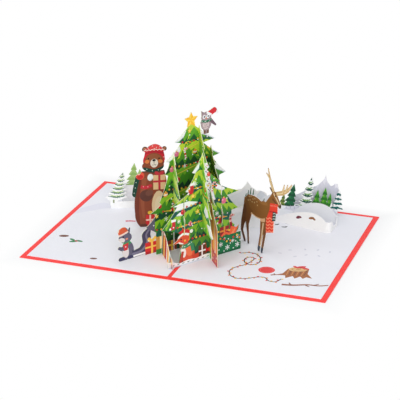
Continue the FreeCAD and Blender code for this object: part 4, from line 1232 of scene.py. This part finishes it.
def deer_picture():
    coat = (142, 92, 46)
    picture = Picture("deer", coat)
    hind = [(3.6, 33.0), (-1.4, 22), (-4.0, 12), (-3.6, 6), (0.0, 0.4)]
    picture.paint((112, 64, 40), band(hind, 8.6, 4.4))
    picture.paint((124, 74, 42), band([(6.6, 30), (4.2, 18), (5.2, 9), (6.0, 0)], 8.0, 4.0))
    picture.paint((128, 80, 42), oval(7.4, 34.6, 6.2, 7.6))
    picture.paint(coat, oval(14.0, 38.6, 9.0, 7.2))
    picture.paint((160, 108, 58), band([(6, 43.6), (16, 44.6), (27, 43.4), (35, 45.4)], 2.4))
    for s, z in (
        (6.4, 42.0), (9.4, 43.0), (12.6, 41.8), (8.0, 39.4), (11.2, 39.0), (15.6, 43.0), (15.0, 39.6),
        (18.8, 41.6), (19.6, 38.8), (5.0, 38.4),
    ):
        picture.paint((226, 190, 140), oval(s, z, 0.75, 0.6, count=7))
    picture.paint((226, 182, 140), band([(9.6, 28.6), (18, 27.6), (27, 28.6), (32, 30.6)], 2.0, 3.0))
    picture.paint((232, 206, 168), band([(29.2, 27), (26.8, 14), (24.6, 4.4)], 1.8, 1.3))
    picture.paint((120, 76, 42), band([(33.4, 31), (31.8, 18), (28.6, 2)], 3.0, 2.2))
    picture.paint((58, 68, 86), box(19.6, 31.0, -1, 4.8))
    picture.paint((70, 42, 34), box(-3.4, 8.6, -1, 2.6))
    picture.paint((230, 202, 164), band([(44.0, 57.8), (49.6, 53.8), (53.2, 51.0)], 1.8, 1.4))
    picture.paint((104, 62, 36), band([(42.6, 52.4), (47.0, 51.2), (52.0, 48.8)], 2.0, 1.4))
    picture.paint((30, 22, 22), oval(54.6, 50.2, 1.5, 1.3), oval(47.2, 56.4, 0.8, count=8))
    picture.paint((90, 54, 36), band([(43.6, 58.0), (38.8, 60.6)], 2.6, 1.4, 1))
    for line in (
        [(44.4, 59.0), (39.0, 66.4), (35.8, 75.6)],
        [(38.4, 68.0), (33.2, 71.0)],
        [(48.4, 58.8), (57.6, 62.6), (65.4, 67.4), (70.6, 73.6)],
        [(57.6, 62.6), (59.8, 70.0)],
        [(62.0, 64.8), (64.6, 71.4)],
    ):
        picture.paint((206, 170, 116), band(line, 4.2, 2.4, 3))
        picture.paint((232, 206, 160), band(line, 1.2, 0.6, 3))
    end = [
        (33.2, 19.6), (45.2, 24.0), (45.6, 34.6), (48.0, 35.4), (49.0, 43.6), (38.4, 42.0),
        (33.4, 31.2),
    ]
    picture.paint((236, 66, 50), end, [(38.0, 38.6), (51.2, 42.2), (51.0, 50.8), (39.2, 47.8)])
    for k in range(5):
        z = 20.6 + 2.8 * k
        wave = [(33.2, z + 1.4), (36.4, z + 1.2), (39.0, z + 3.4), (42.0, z + 3.0), (45.4, z + 5.4)]
        picture.paint((255, 156, 120), band(wave, 0.9, steps=2))
    picture.paint((196, 40, 44), band([(38.2, 40.2), (44.4, 42.0), (51.2, 43.8)], 1.0, steps=1))
    picture.paint((252, 150, 126), *stripes([(39.2, 45.6), (45, 47.4), (51, 49)], 1.0, 1.1))
    picture.paint((26, 60, 56), [(42.4, 33.4), (47.6, 35.2), (48.8, 43.0), (43.6, 41.8)])
    for k in range(3):
        z = 35.4 + 2.4 * k
        picture.paint(
            (216, 232, 220),
            band(
                [(43.4 + 0.3 * k, z), (45.4 + 0.3 * k, z + 1.2), (47.4 + 0.3 * k, z + 1.4)], 0.6,
                steps=1,
            ),
        )
    return picture


PICTURES += [bear_picture(), deer_picture()]
print("animals painted")

# %% [markdown]
# ## Snow, firs and far hills
#
# What stands further off is paler, as in any painted landscape: white banks with painted shade along their
# feet, snowy firs that show only the edges of their boughs, then lilac peaks.

# %% Landscape sheets


def fir_tiers(axis, top, half_width, tiers, floor, trunk_top, lean):
    """The boughs of a small fir: for each tier its left tip, its right tip and its height."""
    step = (top - floor - trunk_top) / (tiers + 0.3)
    rows = []
    for i in range(tiers):
        low = floor + trunk_top + step * i
        reach = half_width * (1 - 0.82 * i / tiers)
        middle = axis + lean * (low - floor)
        rows.append((middle - reach, middle + reach, low, step))
    return rows


def needles(left, right, low, sag, thick, tooth, dice):
    """A sagging crescent of needles with a toothed upper and lower side."""
    count = max(4, int((right - left) / tooth))
    under, over = [], []
    for j in range(count + 1):
        t = j / count
        swell = math.sin(math.pi * t)
        z = low - sag * swell
        under.append((
            left + (right - left) * t,
            z - (0.4 + 0.3 * thick) * swell * dice.uniform(0.2, 1.0) * (j % 2),
        ))
        over.append((
            left + (right - left) * t, z + 0.15 + thick * swell ** 0.6 * dice.uniform(0.45, 1.0),
        ))
    return under + over[::-1]


def snowy_fir(picture, rows, dark, bright, seed, sag=0.34):
    """White boughs whose needles show along their hems, lower in the middle by sag of a tier."""
    dice = random.Random(seed)
    for left, right, low, step in rows:
        width = right - left
        level = low + (sag - 0.06) * step
        picture.paint(
            bright,
            needles(
                left + 0.12 * width, right - 0.12 * width, level + 0.3 * step, sag * step, 0.24 * step,
                0.9, dice,
            ),
        )
        picture.paint(dark, needles(left, right, level, sag * step, 0.36 * step, 0.8, dice))
    left, right, low, step = rows[-1]
    middle = (left + right) / 2
    picture.paint(
        dark,
        [
            (middle - 0.9, low + 0.72 * step), (middle + 1.4, low + 0.7 * step),
            (middle + 0.7, low + 1.5 * step),
        ],
    )


def green_fir(picture, rows, lean, tip, tones):
    """Solid green tiers that end in a tip, each with a dark hem and a brighter crown."""
    dark, mid, bright = tones
    right, left = [], []
    for a, b, low, step in rows:
        middle, waist, shift, high = (a + b) / 2, (b - a) * 0.21, lean * step * 0.85, low + 0.85 * step
        right += [(b, low), (middle + waist + shift, high)]
        left += [(a, low), (middle - waist + shift, high)]
    picture.paint(mid, right[:-1] + [tip] + left[-2::-1])
    for a, b, low, step in rows:
        middle, reach = (a + b) / 2, (b - a) / 2
        picture.paint(dark, [
            (a, low), (b, low), (middle + reach * 0.4, low + step * 0.5),
            (middle, low + step * 0.24), (middle - reach * 0.4, low + step * 0.5),
        ])
        picture.paint(bright, [
            (middle - reach * 0.4, low + step * 0.6), (middle, low + step * 0.55), (
                middle, low + step * 1.05,
            ),
        ])


def pale_fir(picture, rows, tone):
    """A far fir: only a soft hem on each tier."""
    for a, b, low, step in rows:
        picture.paint(tone, [(a, low - 0.4), (b, low - 0.4), ((a + b) / 2, low + step * 0.5)])


def bank_left_picture():
    picture = Picture("bank_left", WHITE)
    # painted shade along the bank's foot, where it meets the page
    picture.paint((240, 242, 246), [(-1, -1), (31, -1), (31, 0.6), (20, 1.2), (8, 0.6), (-1, 1.0)])
    rows = fir_tiers(2.6, 33.5, 9.6, 6, 3.0, 7.6, 0.27)
    snowy_fir(picture, rows, (96, 128, 112), (176, 204, 120), 5, 0.62)
    picture.paint((150, 160, 130), box(1.6, 3.0, 5.4, 8.4))
    picture.paint((128, 160, 124), [(10.0, 32.4), (12.4, 32.4), (11.2, 36.5)])
    return picture


def left_firs_picture():
    picture = Picture("left_firs", (172, 204, 124))
    picture.paint(
        (246, 246, 250), [(0, -1), (40, -1), (40, 13), (30, 20.2), (22, 22.6), (12, 21.6), (0, 19)],
    )
    picture.paint(
        (251, 251, 252), [(8, 15.5), (16, 18.6), (24, 18.4), (30, 15.6), (22, 14.4), (14, 14.8)],
    )
    pale_fir(picture, fir_tiers(18.4, 40.4, 6.8, 4, 19.5, 1.0, 0.1), (150, 190, 104))
    pale_fir(picture, fir_tiers(25.0, 35.0, 5.4, 3, 19.0, 1.0, 0.0), (162, 198, 118))
    return picture


def forest_picture():
    picture = Picture("forest", (236, 238, 243))
    greens = {
        "olive": ((70, 92, 40), (112, 132, 52), (150, 164, 72)),
        "deep": ((12, 74, 48), (20, 100, 60), (52, 132, 76)),
        "bright": ((38, 110, 34), (64, 148, 38), (118, 184, 54)),
        "teal": ((20, 92, 84), (36, 112, 96), (80, 140, 120)),
    }
    firs = [
        (5.4, 24.6, 6.6, 4, 0.2, "deep"), (18.8, 33.2, 8.2, 5, 0.22, None), (
            -1.6, 14.5, 3.6, 3, 0.22, "olive",
        ),
        (28.8, 22.0, 5.4, 3, 0.12, "bright"), (35.6, 25.0, 5.6, 4, 0.1, "bright"), (
            40.4, 20.4, 4.2, 3, 0.1, "bright",
        ),
    ]
    for foot, top, half, tiers, lean, kind in firs:
        rows = fir_tiers(foot, top, half, tiers, 0.4, 3.0, lean)
        if kind is None:
            snow = [(-9, 2), (10.6, 2), (10.6, 16), (8, 34), (5, 34), (-7, 10)]
            picture.paint(WHITE, [(foot + ds, z) for ds, z in snow])
            snowy_fir(picture, rows, (24, 84, 66), (120, 168, 90), 31)
        else:
            green_fir(picture, rows, lean, (foot + lean * (top - 0.4), top + 0.6), greens[kind])
    rows = fir_tiers(47.6, 25.0, 5.8, 4, 3.0, 3.4, 0.12)
    picture.paint(WHITE, [(41.5, 6.2), (54.5, 6.2), (54.5, 12), (51.8, 26), (49.2, 26), (44.0, 14)])
    dice = random.Random(61)
    for a, b, low, step in rows:
        picture.paint((24, 96, 90), needles(a, b, low + 0.1 * step, 0.1 * step, 0.7 * step, 1.1, dice))
    snow = smooth([
        (-0.6, -0.6), (3.0, 3.4), (8.0, 5.0), (16.0, 6.6), (26.0, 8.4), (36.0, 9.0), (44.0, 7.0),
        (47.5, 5.0),
    ])
    picture.paint(
        (220, 219, 231), [(-1.2, -1), *[(s, max(z - 1.2, -0.8)) for s, z in snow], (48, -1)][::-1],
    )
    for k in range(12):
        s = 3.0 + 3.6 * k
        picture.paint(
            (180, 180, 202), [(s, 1.2 + 0.5 * (k % 3)), (s + 0.8, 1.2), (s + 0.5, 4.4 + 0.8 * (k % 2))],
        )
    return picture


def mountains_picture():
    picture = Picture("mountains", (217, 216, 227))
    picture.paint(
        (229, 228, 237),
        [(36.6, 35.6), (33.8, 28), (35.8, 25), (36.8, 28.6), (38.2, 26.4), (38.8, 28.6)],
    )
    picture.paint(
        (210, 210, 224),
        [(38.6, 28.2), (41.3, 25), (44.4, 27.6), (47.8, 23), (50.4, 16), (46, 12), (40, 16), (38, 22)],
    )
    picture.paint((234, 233, 241), [(44.4, 28), (47.4, 27.6), (48, 23.4), (46, 24.6), (45, 23)])
    picture.paint(
        (230, 230, 240), [(8, 11.6), (20, 18.6), (27, 22.4), (31, 25.6), (28, 18), (18, 12), (8, 7)],
    )
    return picture


def ridge_picture():
    picture = Picture("ridge", (251, 251, 252))
    picture.paint(
        (242, 243, 248),
        [
            (0, 24), (7, 28), (12.6, 31), (17, 37), (18.4, 33), (22, 31), (26, 31.5), (24, 24),
            (12, 19), (0, 18),
        ],
    )
    picture.paint(
        (249, 249, 250),
        [(17.9, 41.6), (14.6, 35.6), (17.0, 33.6), (18.6, 35.8), (20.4, 33.2), (21.6, 36.6)],
    )
    picture.paint(
        (226, 232, 242),
        [(26, 30), (30, 34.4), (34.6, 29.6), (39, 32.4), (42.6, 27), (42.6, 18), (34, 20), (27, 24)],
    )
    picture.paint((236, 240, 247), [(29, 26), (34, 30.5), (38, 31.6), (42.6, 24), (42.6, 20), (34, 22)])
    picture.paint((250, 250, 252), [(0, 14), (12, 17), (26, 14), (42.4, 11), (42.4, -1), (0, -1)][::-1])
    for s, z, tall in (
        (16.4, 30.0, 3.4), (18.4, 33.4, 4.8), (20.4, 35.2, 6.0), (22.8, 34.8, 5.4), (31.8, 27.0, 3.6),
    ):
        picture.paint((38, 104, 70), band([(s, z - tall), (s + 0.7, z)], 1.0, 0.5, 1))
    return picture


PICTURES += [
    bank_left_picture(), left_firs_picture(), forest_picture(), mountains_picture(), ridge_picture(),
]
print("landscape painted")

# %% [markdown]
# ## The pages
#
# The pages carry a few small things lying in the snow: fir cones, a sprig of holly, a tree stump,
# twigs, a plain red oval and a string of lights. The hill has two marks of its own.

# %% Pages


def cone(picture, s, z, size, turn):
    c, d = math.cos(math.radians(turn)), math.sin(math.radians(turn))
    picture.paint((92, 52, 42), oval(s, z, size, size * 0.52, turn))
    for k in range(4):
        u = size * (-0.6 + 0.4 * k)
        picture.paint((150, 96, 70), oval(s + c * u, z + d * u, size * 0.1, size * 0.36, turn, 8))


def twig(picture, points, width, sprigs):
    picture.paint((136, 78, 56), band(points, width, width * 0.5))
    picture.paint((178, 118, 88), band([(s, z + width * 0.2) for s, z in points], width * 0.25))
    for s, z, ds, dz in sprigs:
        picture.paint((136, 78, 56), band([(s, z), (s + ds, z + dz)], width * 0.6, width * 0.3, 1))


def left_page_picture():
    picture = Picture("liner_left", None, PAGE, False)
    picture.paint(
        (229, 229, 240),
        smooth(
            [
                (-122.3, 20), (-116, 30), (-108, 40), (-100, 38), (-96, 33), (-104, 26), (-112, 18),
                (-122.3, 8),
            ],
            5,
        ),
    )
    cone(picture, -110.4, -38.4, 4.2, 18)
    picture.paint(
        (44, 124, 74), oval(-98.4, -46.4, 3.6, 1.6, 30), oval(-94.4, -44.0, 3.4, 1.5, -5),
        oval(-100.6, -43.2, 3.2, 1.4, -30),
    )
    picture.paint((208, 48, 52), oval(-97.4, -44.4, 0.9, count=8), oval(-95.9, -45.2, 0.9, count=8))
    cone(picture, -69.4, -72.6, 3.0, 12)
    picture.paint((206, 44, 84), band([(-74, 8.0), (-70, 9.6), (-65.8, 10.4)], 2.6, 2.0, 3))
    picture.paint((238, 150, 172), *stripes([(-74, 8.4), (-70, 10.0), (-65.8, 10.8)], 0.8, 1.1))
    return picture


def right_page_picture():
    picture = Picture("liner_right", None, PAGE, False)
    string(picture, [
        (38.5, -23.5), (44, -20.4), (50.5, -20.6), (56.6, -27), (58.2, -37.0), (53.4, -42.6),
        (47.4, -39.6), (45.6, -31.6),
        (50.4, -27.8), (52.6, -33.0), (49.0, -43.6), (44.2, -49.4), (41.0, -57.4), (44.0, -66.4),
        (51.0, -70.2), (58.4, -68.0),
        (64.2, -63.6), (70.4, -61.4), (75.6, -66.6), (81.0, -66.6), (84.0, -60.0),
    ], (34, 48, 44), 0.9)
    picture.paint((228, 60, 62), oval(68.2, -47.8, 6.6, 6.2, 10, 28))
    picture.paint((240, 120, 116), oval(68.2, -47.8, 5.4, 5.0, 10, 28))
    picture.paint((228, 60, 62), oval(68.2, -47.8, 5.0, 4.6, 10, 28))
    stump = [
        (77.6, -53.6), (82.0, -49.6), (83.6, -39.8), (99.6, -35.0), (100.8, -44.6), (106.4, -51.6),
        (101.4, -50.8),
        (99.6, -54.4), (96.6, -51.0), (93.4, -56.0), (90.8, -52.0), (86.4, -57.4), (84.8, -52.8),
    ]
    picture.paint((164, 98, 52), stump)
    for k in range(8):
        tone = (112, 64, 40) if k % 2 else (206, 140, 84)
        picture.paint(
            tone,
            band([(84.8 + 2.0 * k, -42.6 + 0.8 * k), (85.6 + 1.9 * k, -52.0 + 0.4 * k)], 0.9, 0.5, 1),
        )
    picture.paint((226, 186, 128), oval(91.6, -38.2, 7.8, 4.2, 20, 24))
    picture.paint((196, 148, 94), oval(91.6, -38.2, 5.6, 2.9, 20, 20))
    picture.paint((226, 186, 128), oval(91.6, -38.2, 4.6, 2.3, 20, 18))
    picture.paint((196, 148, 94), oval(91.6, -38.2, 2.2, 1.1, 20, 12))
    picture.paint(
        (214, 52, 56), oval(92.6, -33.4, 4.0, 1.7, 30), oval(96.4, -35.2, 3.4, 1.5, -12),
        oval(88.6, -35.0, 3.0, 1.3, 150),
    )
    picture.paint((176, 30, 44), oval(92.4, -35.2, 1.1, count=8))
    twig(
        picture, [(87.0, -69.6), (96, -67.8), (106, -63.6), (115, -62.6), (121.6, -59.4)], 2.8,
        [(94, -68.2, -2.6, 3.6), (104, -64.4, 4.4, -2.6), (111, -63, 3.2, 3.4)],
    )
    twig(picture, [(74.0, -55.8), (78.0, -53.6), (82.0, -52.8)], 1.8, [(77, -54.2, -1.6, 2.4)])
    for s, z, turn in ((48.6, 43.0, 10), (56.6, 40.0, 5), (57.8, 48.6, 20)):
        picture.paint(
            (44, 54, 50), oval(s, z, 2.3, 0.9, turn, 10),
            oval(s + 1.4, z + 1.2, 1.6, 0.7, turn + 40, 8),
        )
    for k, (s, z) in enumerate((
        (68.8, -12.7), (74.7, -4.2), (82.0, -15.0), (89.7, -9.5), (96.2, 3.3), (106.4, 2.6),
        (86.0, 1.0), (100.0, -8.0),
    )):
        picture.paint((212, 212, 224), oval(s, z, 1.7, 0.9, 20 * k, 10))
    return picture


def hill_picture():
    picture = Picture("hill", None, None, False)
    picture.paint((112, 44, 58), oval(21.6, 8.4, 2.4, 1.3, 24, 10), oval(23.4, 8.9, 1.3, 0.9, -10, 8))
    picture.paint((150, 96, 56), oval(34.0, 10.4, 2.8, 1.1, 16, 10), oval(36.4, 10.0, 1.6, 1.0, -26, 8))
    return picture


PICTURES += [left_page_picture(), right_page_picture(), hill_picture()]

skins = [picture.build() for picture in PICTURES]
print("skins:", len(skins), "faces:", sum(len(skin.data.polygons) for skin in skins))

# %% [markdown]
# ## Bulbs and snow by rule
#
# Bulbs follow the strings at an even spacing, and their colours go round in turn. Falling snow is a
# scatter that keeps a distance between flakes and stays clear of the cut. Both are rules, so both
# are Geometry Nodes: change an input and every sheet follows.

# %% Geometry nodes


def node_group(name, inputs):
    group = bpy.data.node_groups.new(name, "GeometryNodeTree")
    group.interface.new_socket("Geometry", in_out="INPUT", socket_type="NodeSocketGeometry")
    for label, kind, value in inputs:
        socket = group.interface.new_socket(label, in_out="INPUT", socket_type="NodeSocket" + kind)
        socket.default_value = value
    group.interface.new_socket("Geometry", in_out="OUTPUT", socket_type="NodeSocketGeometry")
    kit = Kit(group)
    return group, kit, kit.add("NodeGroupInput")


def dots_from(kit, points, facing, radius, height):
    """A small closed disc on every point, facing off the sheet."""
    disc = kit.add("GeometryNodeMeshCylinder", None, {"Vertices": 9, "Radius": radius, "Depth": height})
    turn = kit.add("FunctionNodeAlignRotationToVector", {"axis": "Z"}, {"Vector": facing})
    return kit.add(
        "GeometryNodeInstanceOnPoints", None,
        {"Points": points, "Instance": disc.outputs["Mesh"], "Rotation": turn.outputs[0]},
    )


def finish_group(kit, instances, colour):
    named = kit.add(
        "GeometryNodeStoreNamedAttribute", {"data_type": "FLOAT_COLOR", "domain": "INSTANCE"},
        {"Geometry": instances, "Name": "ink", "Value": colour},
    )
    solid = kit.add("GeometryNodeRealizeInstances", None, {"Geometry": named.outputs[0]})
    inked = kit.add(
        "GeometryNodeSetMaterial", None, {"Geometry": solid.outputs[0], "Material": INK_MATERIAL},
    )
    kit.add("NodeGroupOutput", None, {0: inked.outputs[0]})


def bulbs_group():
    group, kit, given = node_group("bulbs on strings", [
        ("Spacing", "Float", 0.003), ("Radius", "Float", 0.0008), ("Height", "Float", 0.00006),
        ("Aside", "Float", 0.0),
        ("First", "Color", linear(RED)), ("Second", "Color", linear(GOLD)), (
            "Third", "Color", linear(ORANGE),
        ),
    ])
    line = kit.add("GeometryNodeMeshToCurve", None, {"Mesh": given.outputs["Geometry"]})
    even = kit.add(
        "GeometryNodeResampleCurve", {"mode": "LENGTH"},
        {"Curve": line.outputs[0], "Length": given.outputs["Spacing"]},
    )
    points = kit.add("GeometryNodeCurveToPoints", {"mode": "EVALUATED"}, {"Curve": even.outputs[0]})
    facing = kit.add(
        "GeometryNodeInputNamedAttribute", {"data_type": "FLOAT_VECTOR"}, {"Name": "facing"},
    )
    number = Num(kit, kit.add("GeometryNodeInputIndex").outputs[0])
    # bulbs hang to the left and the right of the cord by turns
    side = (number.join("MODULO", 2.0) * 2.0 - 1.0) * Num(kit, given.outputs["Aside"])
    across = kit.add(
        "ShaderNodeVectorMath", {"operation": "CROSS_PRODUCT"},
        {0: points.outputs["Tangent"], 1: facing.outputs[0]},
    )
    shift = kit.add(
        "ShaderNodeVectorMath", {"operation": "SCALE"}, {0: across.outputs[0], "Scale": side},
    )
    moved = kit.add(
        "GeometryNodeSetPosition", None, {"Geometry": points.outputs[0], "Offset": shift.outputs[0]},
    )
    discs = dots_from(
        kit, moved.outputs[0], facing.outputs[0], given.outputs["Radius"], given.outputs["Height"],
    )
    third = number.join("MODULO", 3.0)
    warm = blend(kit, third > 0.5, given.outputs["First"], given.outputs["Second"])
    finish_group(kit, discs.outputs[0], blend(kit, third > 1.5, warm, given.outputs["Third"]))
    return group


def flakes_group():
    group, kit, given = node_group("falling snow", [
        ("Apart", "Float", 0.006), ("Density", "Float", 40000.0), ("Radius", "Float", 0.0006),
        ("Height", "Float", 0.00006), ("Seed", "Int", 1),
    ])
    spread = kit.add("GeometryNodeDistributePointsOnFaces", {"distribute_method": "POISSON"}, {
        "Mesh": given.outputs["Geometry"], "Distance Min": given.outputs["Apart"],
        "Density Max": given.outputs["Density"], "Seed": given.outputs["Seed"],
    })
    beside = kit.add("GeometryNodeInputMeshEdgeNeighbors")
    rim = kit.add("FunctionNodeCompare", {"data_type": "INT", "operation": "EQUAL"})
    kit.feed(rim.inputs[2], beside.outputs[0])
    rim.inputs[3].default_value = 1
    cut = kit.add(
        "GeometryNodeSeparateGeometry", {"domain": "EDGE"},
        {"Geometry": given.outputs["Geometry"], "Selection": rim.outputs[0]},
    )
    near = kit.add("GeometryNodeProximity", {"target_element": "EDGES"}, {0: cut.outputs[0]})
    reach = Num(kit, given.outputs["Radius"]) * 1.5
    too_near = reach > Num(kit, near.outputs["Distance"])
    clear = kit.add(
        "GeometryNodeDeleteGeometry", {"domain": "POINT"},
        {"Geometry": spread.outputs["Points"], "Selection": too_near},
    )
    discs = dots_from(
        kit, clear.outputs[0], spread.outputs["Normal"], given.outputs["Radius"],
        given.outputs["Height"],
    )
    finish_group(kit, discs.outputs[0], linear(WHITE))
    return group


def run_group(name, mesh, group, values):
    """Runs a node group on a mesh once and keeps the result as a plain mesh."""
    holder = bpy.data.objects.new(name + "_holder", mesh)
    bpy.context.scene.collection.objects.link(holder)
    modifier = holder.modifiers.new("rule", "NODES")
    modifier.node_group = group
    for item in group.interface.items_tree:
        if item.in_out == "INPUT" and item.name in values:
            modifier[item.identifier] = values[item.name]
    bpy.context.view_layer.update()
    ready = holder.evaluated_get(bpy.context.evaluated_depsgraph_get())
    result = bpy.data.meshes.new_from_object(ready)
    bpy.data.objects.remove(holder)
    piece = bpy.data.objects.new(name, result)
    bpy.context.scene.collection.objects.link(piece)
    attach(piece, "root")
    return piece


def inside(loops, s, z, clearance):
    """Whether a point lies on the sheet, at least clearance from its cut edge."""
    odd = False
    for loop in loops:
        for (s0, z0), (s1, z1) in zip(loop, loop[1:] + loop[:1]):
            if (z0 > z) != (z1 > z) and s < s0 + (z - z0) / (z1 - z0) * (s1 - s0):
                odd = not odd
            length = (s1 - s0) ** 2 + (z1 - z0) ** 2
            t = min(1.0, max(0.0, ((s - s0) * (s1 - s0) + (z - z0) * (z1 - z0)) / length)) if length else 0.0
            if math.hypot(s0 + t * (s1 - s0) - s, z0 + t * (z1 - z0) - z) < clearance:
                return False
    return odd


def string_mesh(picture, clearance):
    """The strings of a picture as edges on its faces, cut where they would leave the sheet."""
    verts, edges, facing = [], [], []
    lift = picture.board.half_gauge + INK
    for side in (1, -1) if picture.both_sides else (1,):
        for line in picture.strings:
            last = None
            for s, z in line:
                if not inside(picture.loops, s, z, clearance):
                    last = None
                    continue
                verts.append(picture.board.place(s, z, side * lift))
                facing.append(picture.board.out * side)
                if last is not None:
                    edges.append((last, len(verts) - 1))
                last = len(verts) - 1
    mesh = bpy.data.meshes.new(picture.node + "_strings")
    mesh.from_pydata(verts, edges, [])
    attribute = mesh.attributes.new("facing", "FLOAT_VECTOR", "POINT")
    attribute.data.foreach_set("vector", [part for vector in facing for part in vector])
    return mesh if edges else None


def field_mesh(picture, shape):
    """The part of a sheet that lies inside a shape, as flat faces on both sides."""
    field = Picture(picture.node, None, picture.board, picture.both_sides)
    field.paint(WHITE, shape)
    spots, kept = field.regions()
    verts, faces = [], []
    for side in (1, -1):
        start = len(verts)
        verts.extend(
            picture.board.place(s, z, side * (picture.board.half_gauge + INK)) for s, z in spots
        )
        for face, _ in kept:
            ring = [start + i for i in face]
            faces.append(ring if side > 0 else ring[::-1])
    mesh = bpy.data.meshes.new(picture.node + "_field")
    mesh.from_pydata(verts, [], faces)
    return mesh


# how far a string's bulbs stay from the cut
STRING_CLEARANCE = 1.0
BULB_SPACING = 3.6
BULB_RADIUS = 0.9
FLAKE_RADIUS = 0.6

BULBS = bulbs_group()
for picture in PICTURES:
    if not picture.strings:
        continue
    strings = string_mesh(picture, STRING_CLEARANCE)
    if strings is not None:
        aside = 1.0 if picture.board is PAGE else 0.0
        values = {"Spacing": BULB_SPACING * MM, "Radius": BULB_RADIUS * MM, "Aside": aside * MM}
        run_group(picture.node + "_bulbs", strings, BULBS, values)

FLAKES = flakes_group()
for seed, (node, shape, apart) in enumerate((
    ("tree_back", [(-54, 12), (34, 12), (20, 90), (-8, 104), (-40, 60)], 7.0),
    ("tree_front", [(-16, 26), (60, 26), (50, 60), (24, 88), (0, 60)], 7.0),
    ("left_slice", box(-16, 36, 28, 82), 9.0),
    ("front_slice", box(-16, 32, 28, 88), 9.0),
    ("centre_slice", box(-32, 30, 12, 98), 9.0),
    ("right_slice", box(-24, 38, 14, 80), 9.0),
), 1):
    picture = next(item for item in PICTURES if item.node == node)
    values = {"Apart": apart * MM, "Seed": seed, "Radius": FLAKE_RADIUS * MM}
    run_group(node + "_flakes", field_mesh(picture, shape), FLAKES, values)

# %% [markdown]
# ## The photograph's stand
#
# The card lies on a plain white table under a large soft lamp. The table fades to the white of the
# backdrop, so that only the soft shadow round the card shows where it stands.

# %% Camera, floor and light
scene = bpy.context.scene
scene.view_settings.view_transform = "Standard"

# the camera that fits the four corners of the photographed card
YAW, PITCH = math.radians(19.32), math.radians(22.02)
FOCAL_LENGTH, SENSOR_WIDTH = 139.14, 36.0
DISTANCE = 1.25
# from the fold, from the front edge, and above the card
LOOKED_AT = (2.57, 69.49, 40.0)

back = Vector((math.sin(YAW) * math.cos(PITCH), -math.cos(YAW) * math.cos(PITCH), math.sin(PITCH)))
target = (Vector(LOOKED_AT) + Vector((0, -HALF_DEPTH, CARD_TOP))) * MM
camera_data = bpy.data.cameras.new("camera")
camera_data.lens = FOCAL_LENGTH
camera_data.sensor_width = SENSOR_WIDTH
camera_data.clip_start = 0.05
camera = bpy.data.objects.new("camera", camera_data)
camera.location = target + back * DISTANCE
camera.rotation_euler = back.to_track_quat("Z", "Y").to_euler()
scene.collection.objects.link(camera)
scene.camera = camera


def seen_directly(kit):
    """One for what the camera sees, also in a gloss or through a clear thing; it lights nothing."""
    path = kit.add("ShaderNodeLightPath")
    seen = Num(kit, path.outputs["Is Camera Ray"])
    for name in ("Is Glossy Ray", "Is Transmission Ray"):
        seen = seen.join("MAXIMUM", Num(kit, path.outputs[name]))
    return seen


def table_material():
    material, kit, where = new_material("table")
    x, y, _ = parts_of(kit, where)
    beside = (abs(x) - HALF_WIDTH * MM).join("MAXIMUM", abs(y) - HALF_DEPTH * MM)
    far = (beside * 40.0 + 0.25).join("MAXIMUM", 0.0).join("MINIMUM", 1.0)
    seen = seen_directly(kit)
    plain = kit.add("ShaderNodeBsdfDiffuse", None, {"Color": (0.9, 0.9, 0.905, 1)})
    white = kit.add("ShaderNodeEmission", None, {"Strength": 1.0})
    both = kit.add(
        "ShaderNodeMixShader", None, {0: far * seen, 1: plain.outputs[0], 2: white.outputs[0]},
    )
    kit.add("ShaderNodeOutputMaterial", None, {"Surface": both.outputs[0]})
    return material


floor_mesh = bpy.data.meshes.new("table")
floor_mesh.from_pydata([(-3, -3, 0), (3, -3, 0), (3, 3, 0), (-3, 3, 0)], [], [(0, 1, 2, 3)])
floor_mesh.materials.append(table_material())
floor = bpy.data.objects.new("table", floor_mesh)
floor.location.z = -0.0002
scene.collection.objects.link(floor)

world = bpy.data.worlds.new("studio")
scene.world = world
world.use_nodes = True
world.node_tree.nodes.clear()
sky = Kit(world.node_tree)
soft = sky.add("ShaderNodeBackground", None, {"Color": (0.975, 0.99, 1.0, 1), "Strength": 0.68})
white = sky.add("ShaderNodeBackground", None, {"Color": (1, 1, 1, 1), "Strength": 1.0})
both = sky.add(
    "ShaderNodeMixShader", None, {0: seen_directly(sky), 1: soft.outputs[0], 2: white.outputs[0]},
)
sky.add("ShaderNodeOutputWorld", None, {"Surface": both.outputs[0]})


def lamp(name, place, size, power):
    data = bpy.data.lights.new(name, "AREA")
    data.shape = "SQUARE"
    data.size = size
    data.energy = power
    item = bpy.data.objects.new(name, data)
    item.location = place
    item.rotation_euler = (Vector(place) - Vector((0, 0, 0.03))).to_track_quat("Z", "Y").to_euler()
    scene.collection.objects.link(item)


lamp("top", (0.0, -0.1, 1.4), 0.7, 3.0)
lamp("key", (-0.7, -1.2, 0.75), 0.9, 5.5)
lamp("fill", (0.5, -1.25, 0.6), 0.7, 7.0)
print("camera at", [round(value, 3) for value in camera.location])
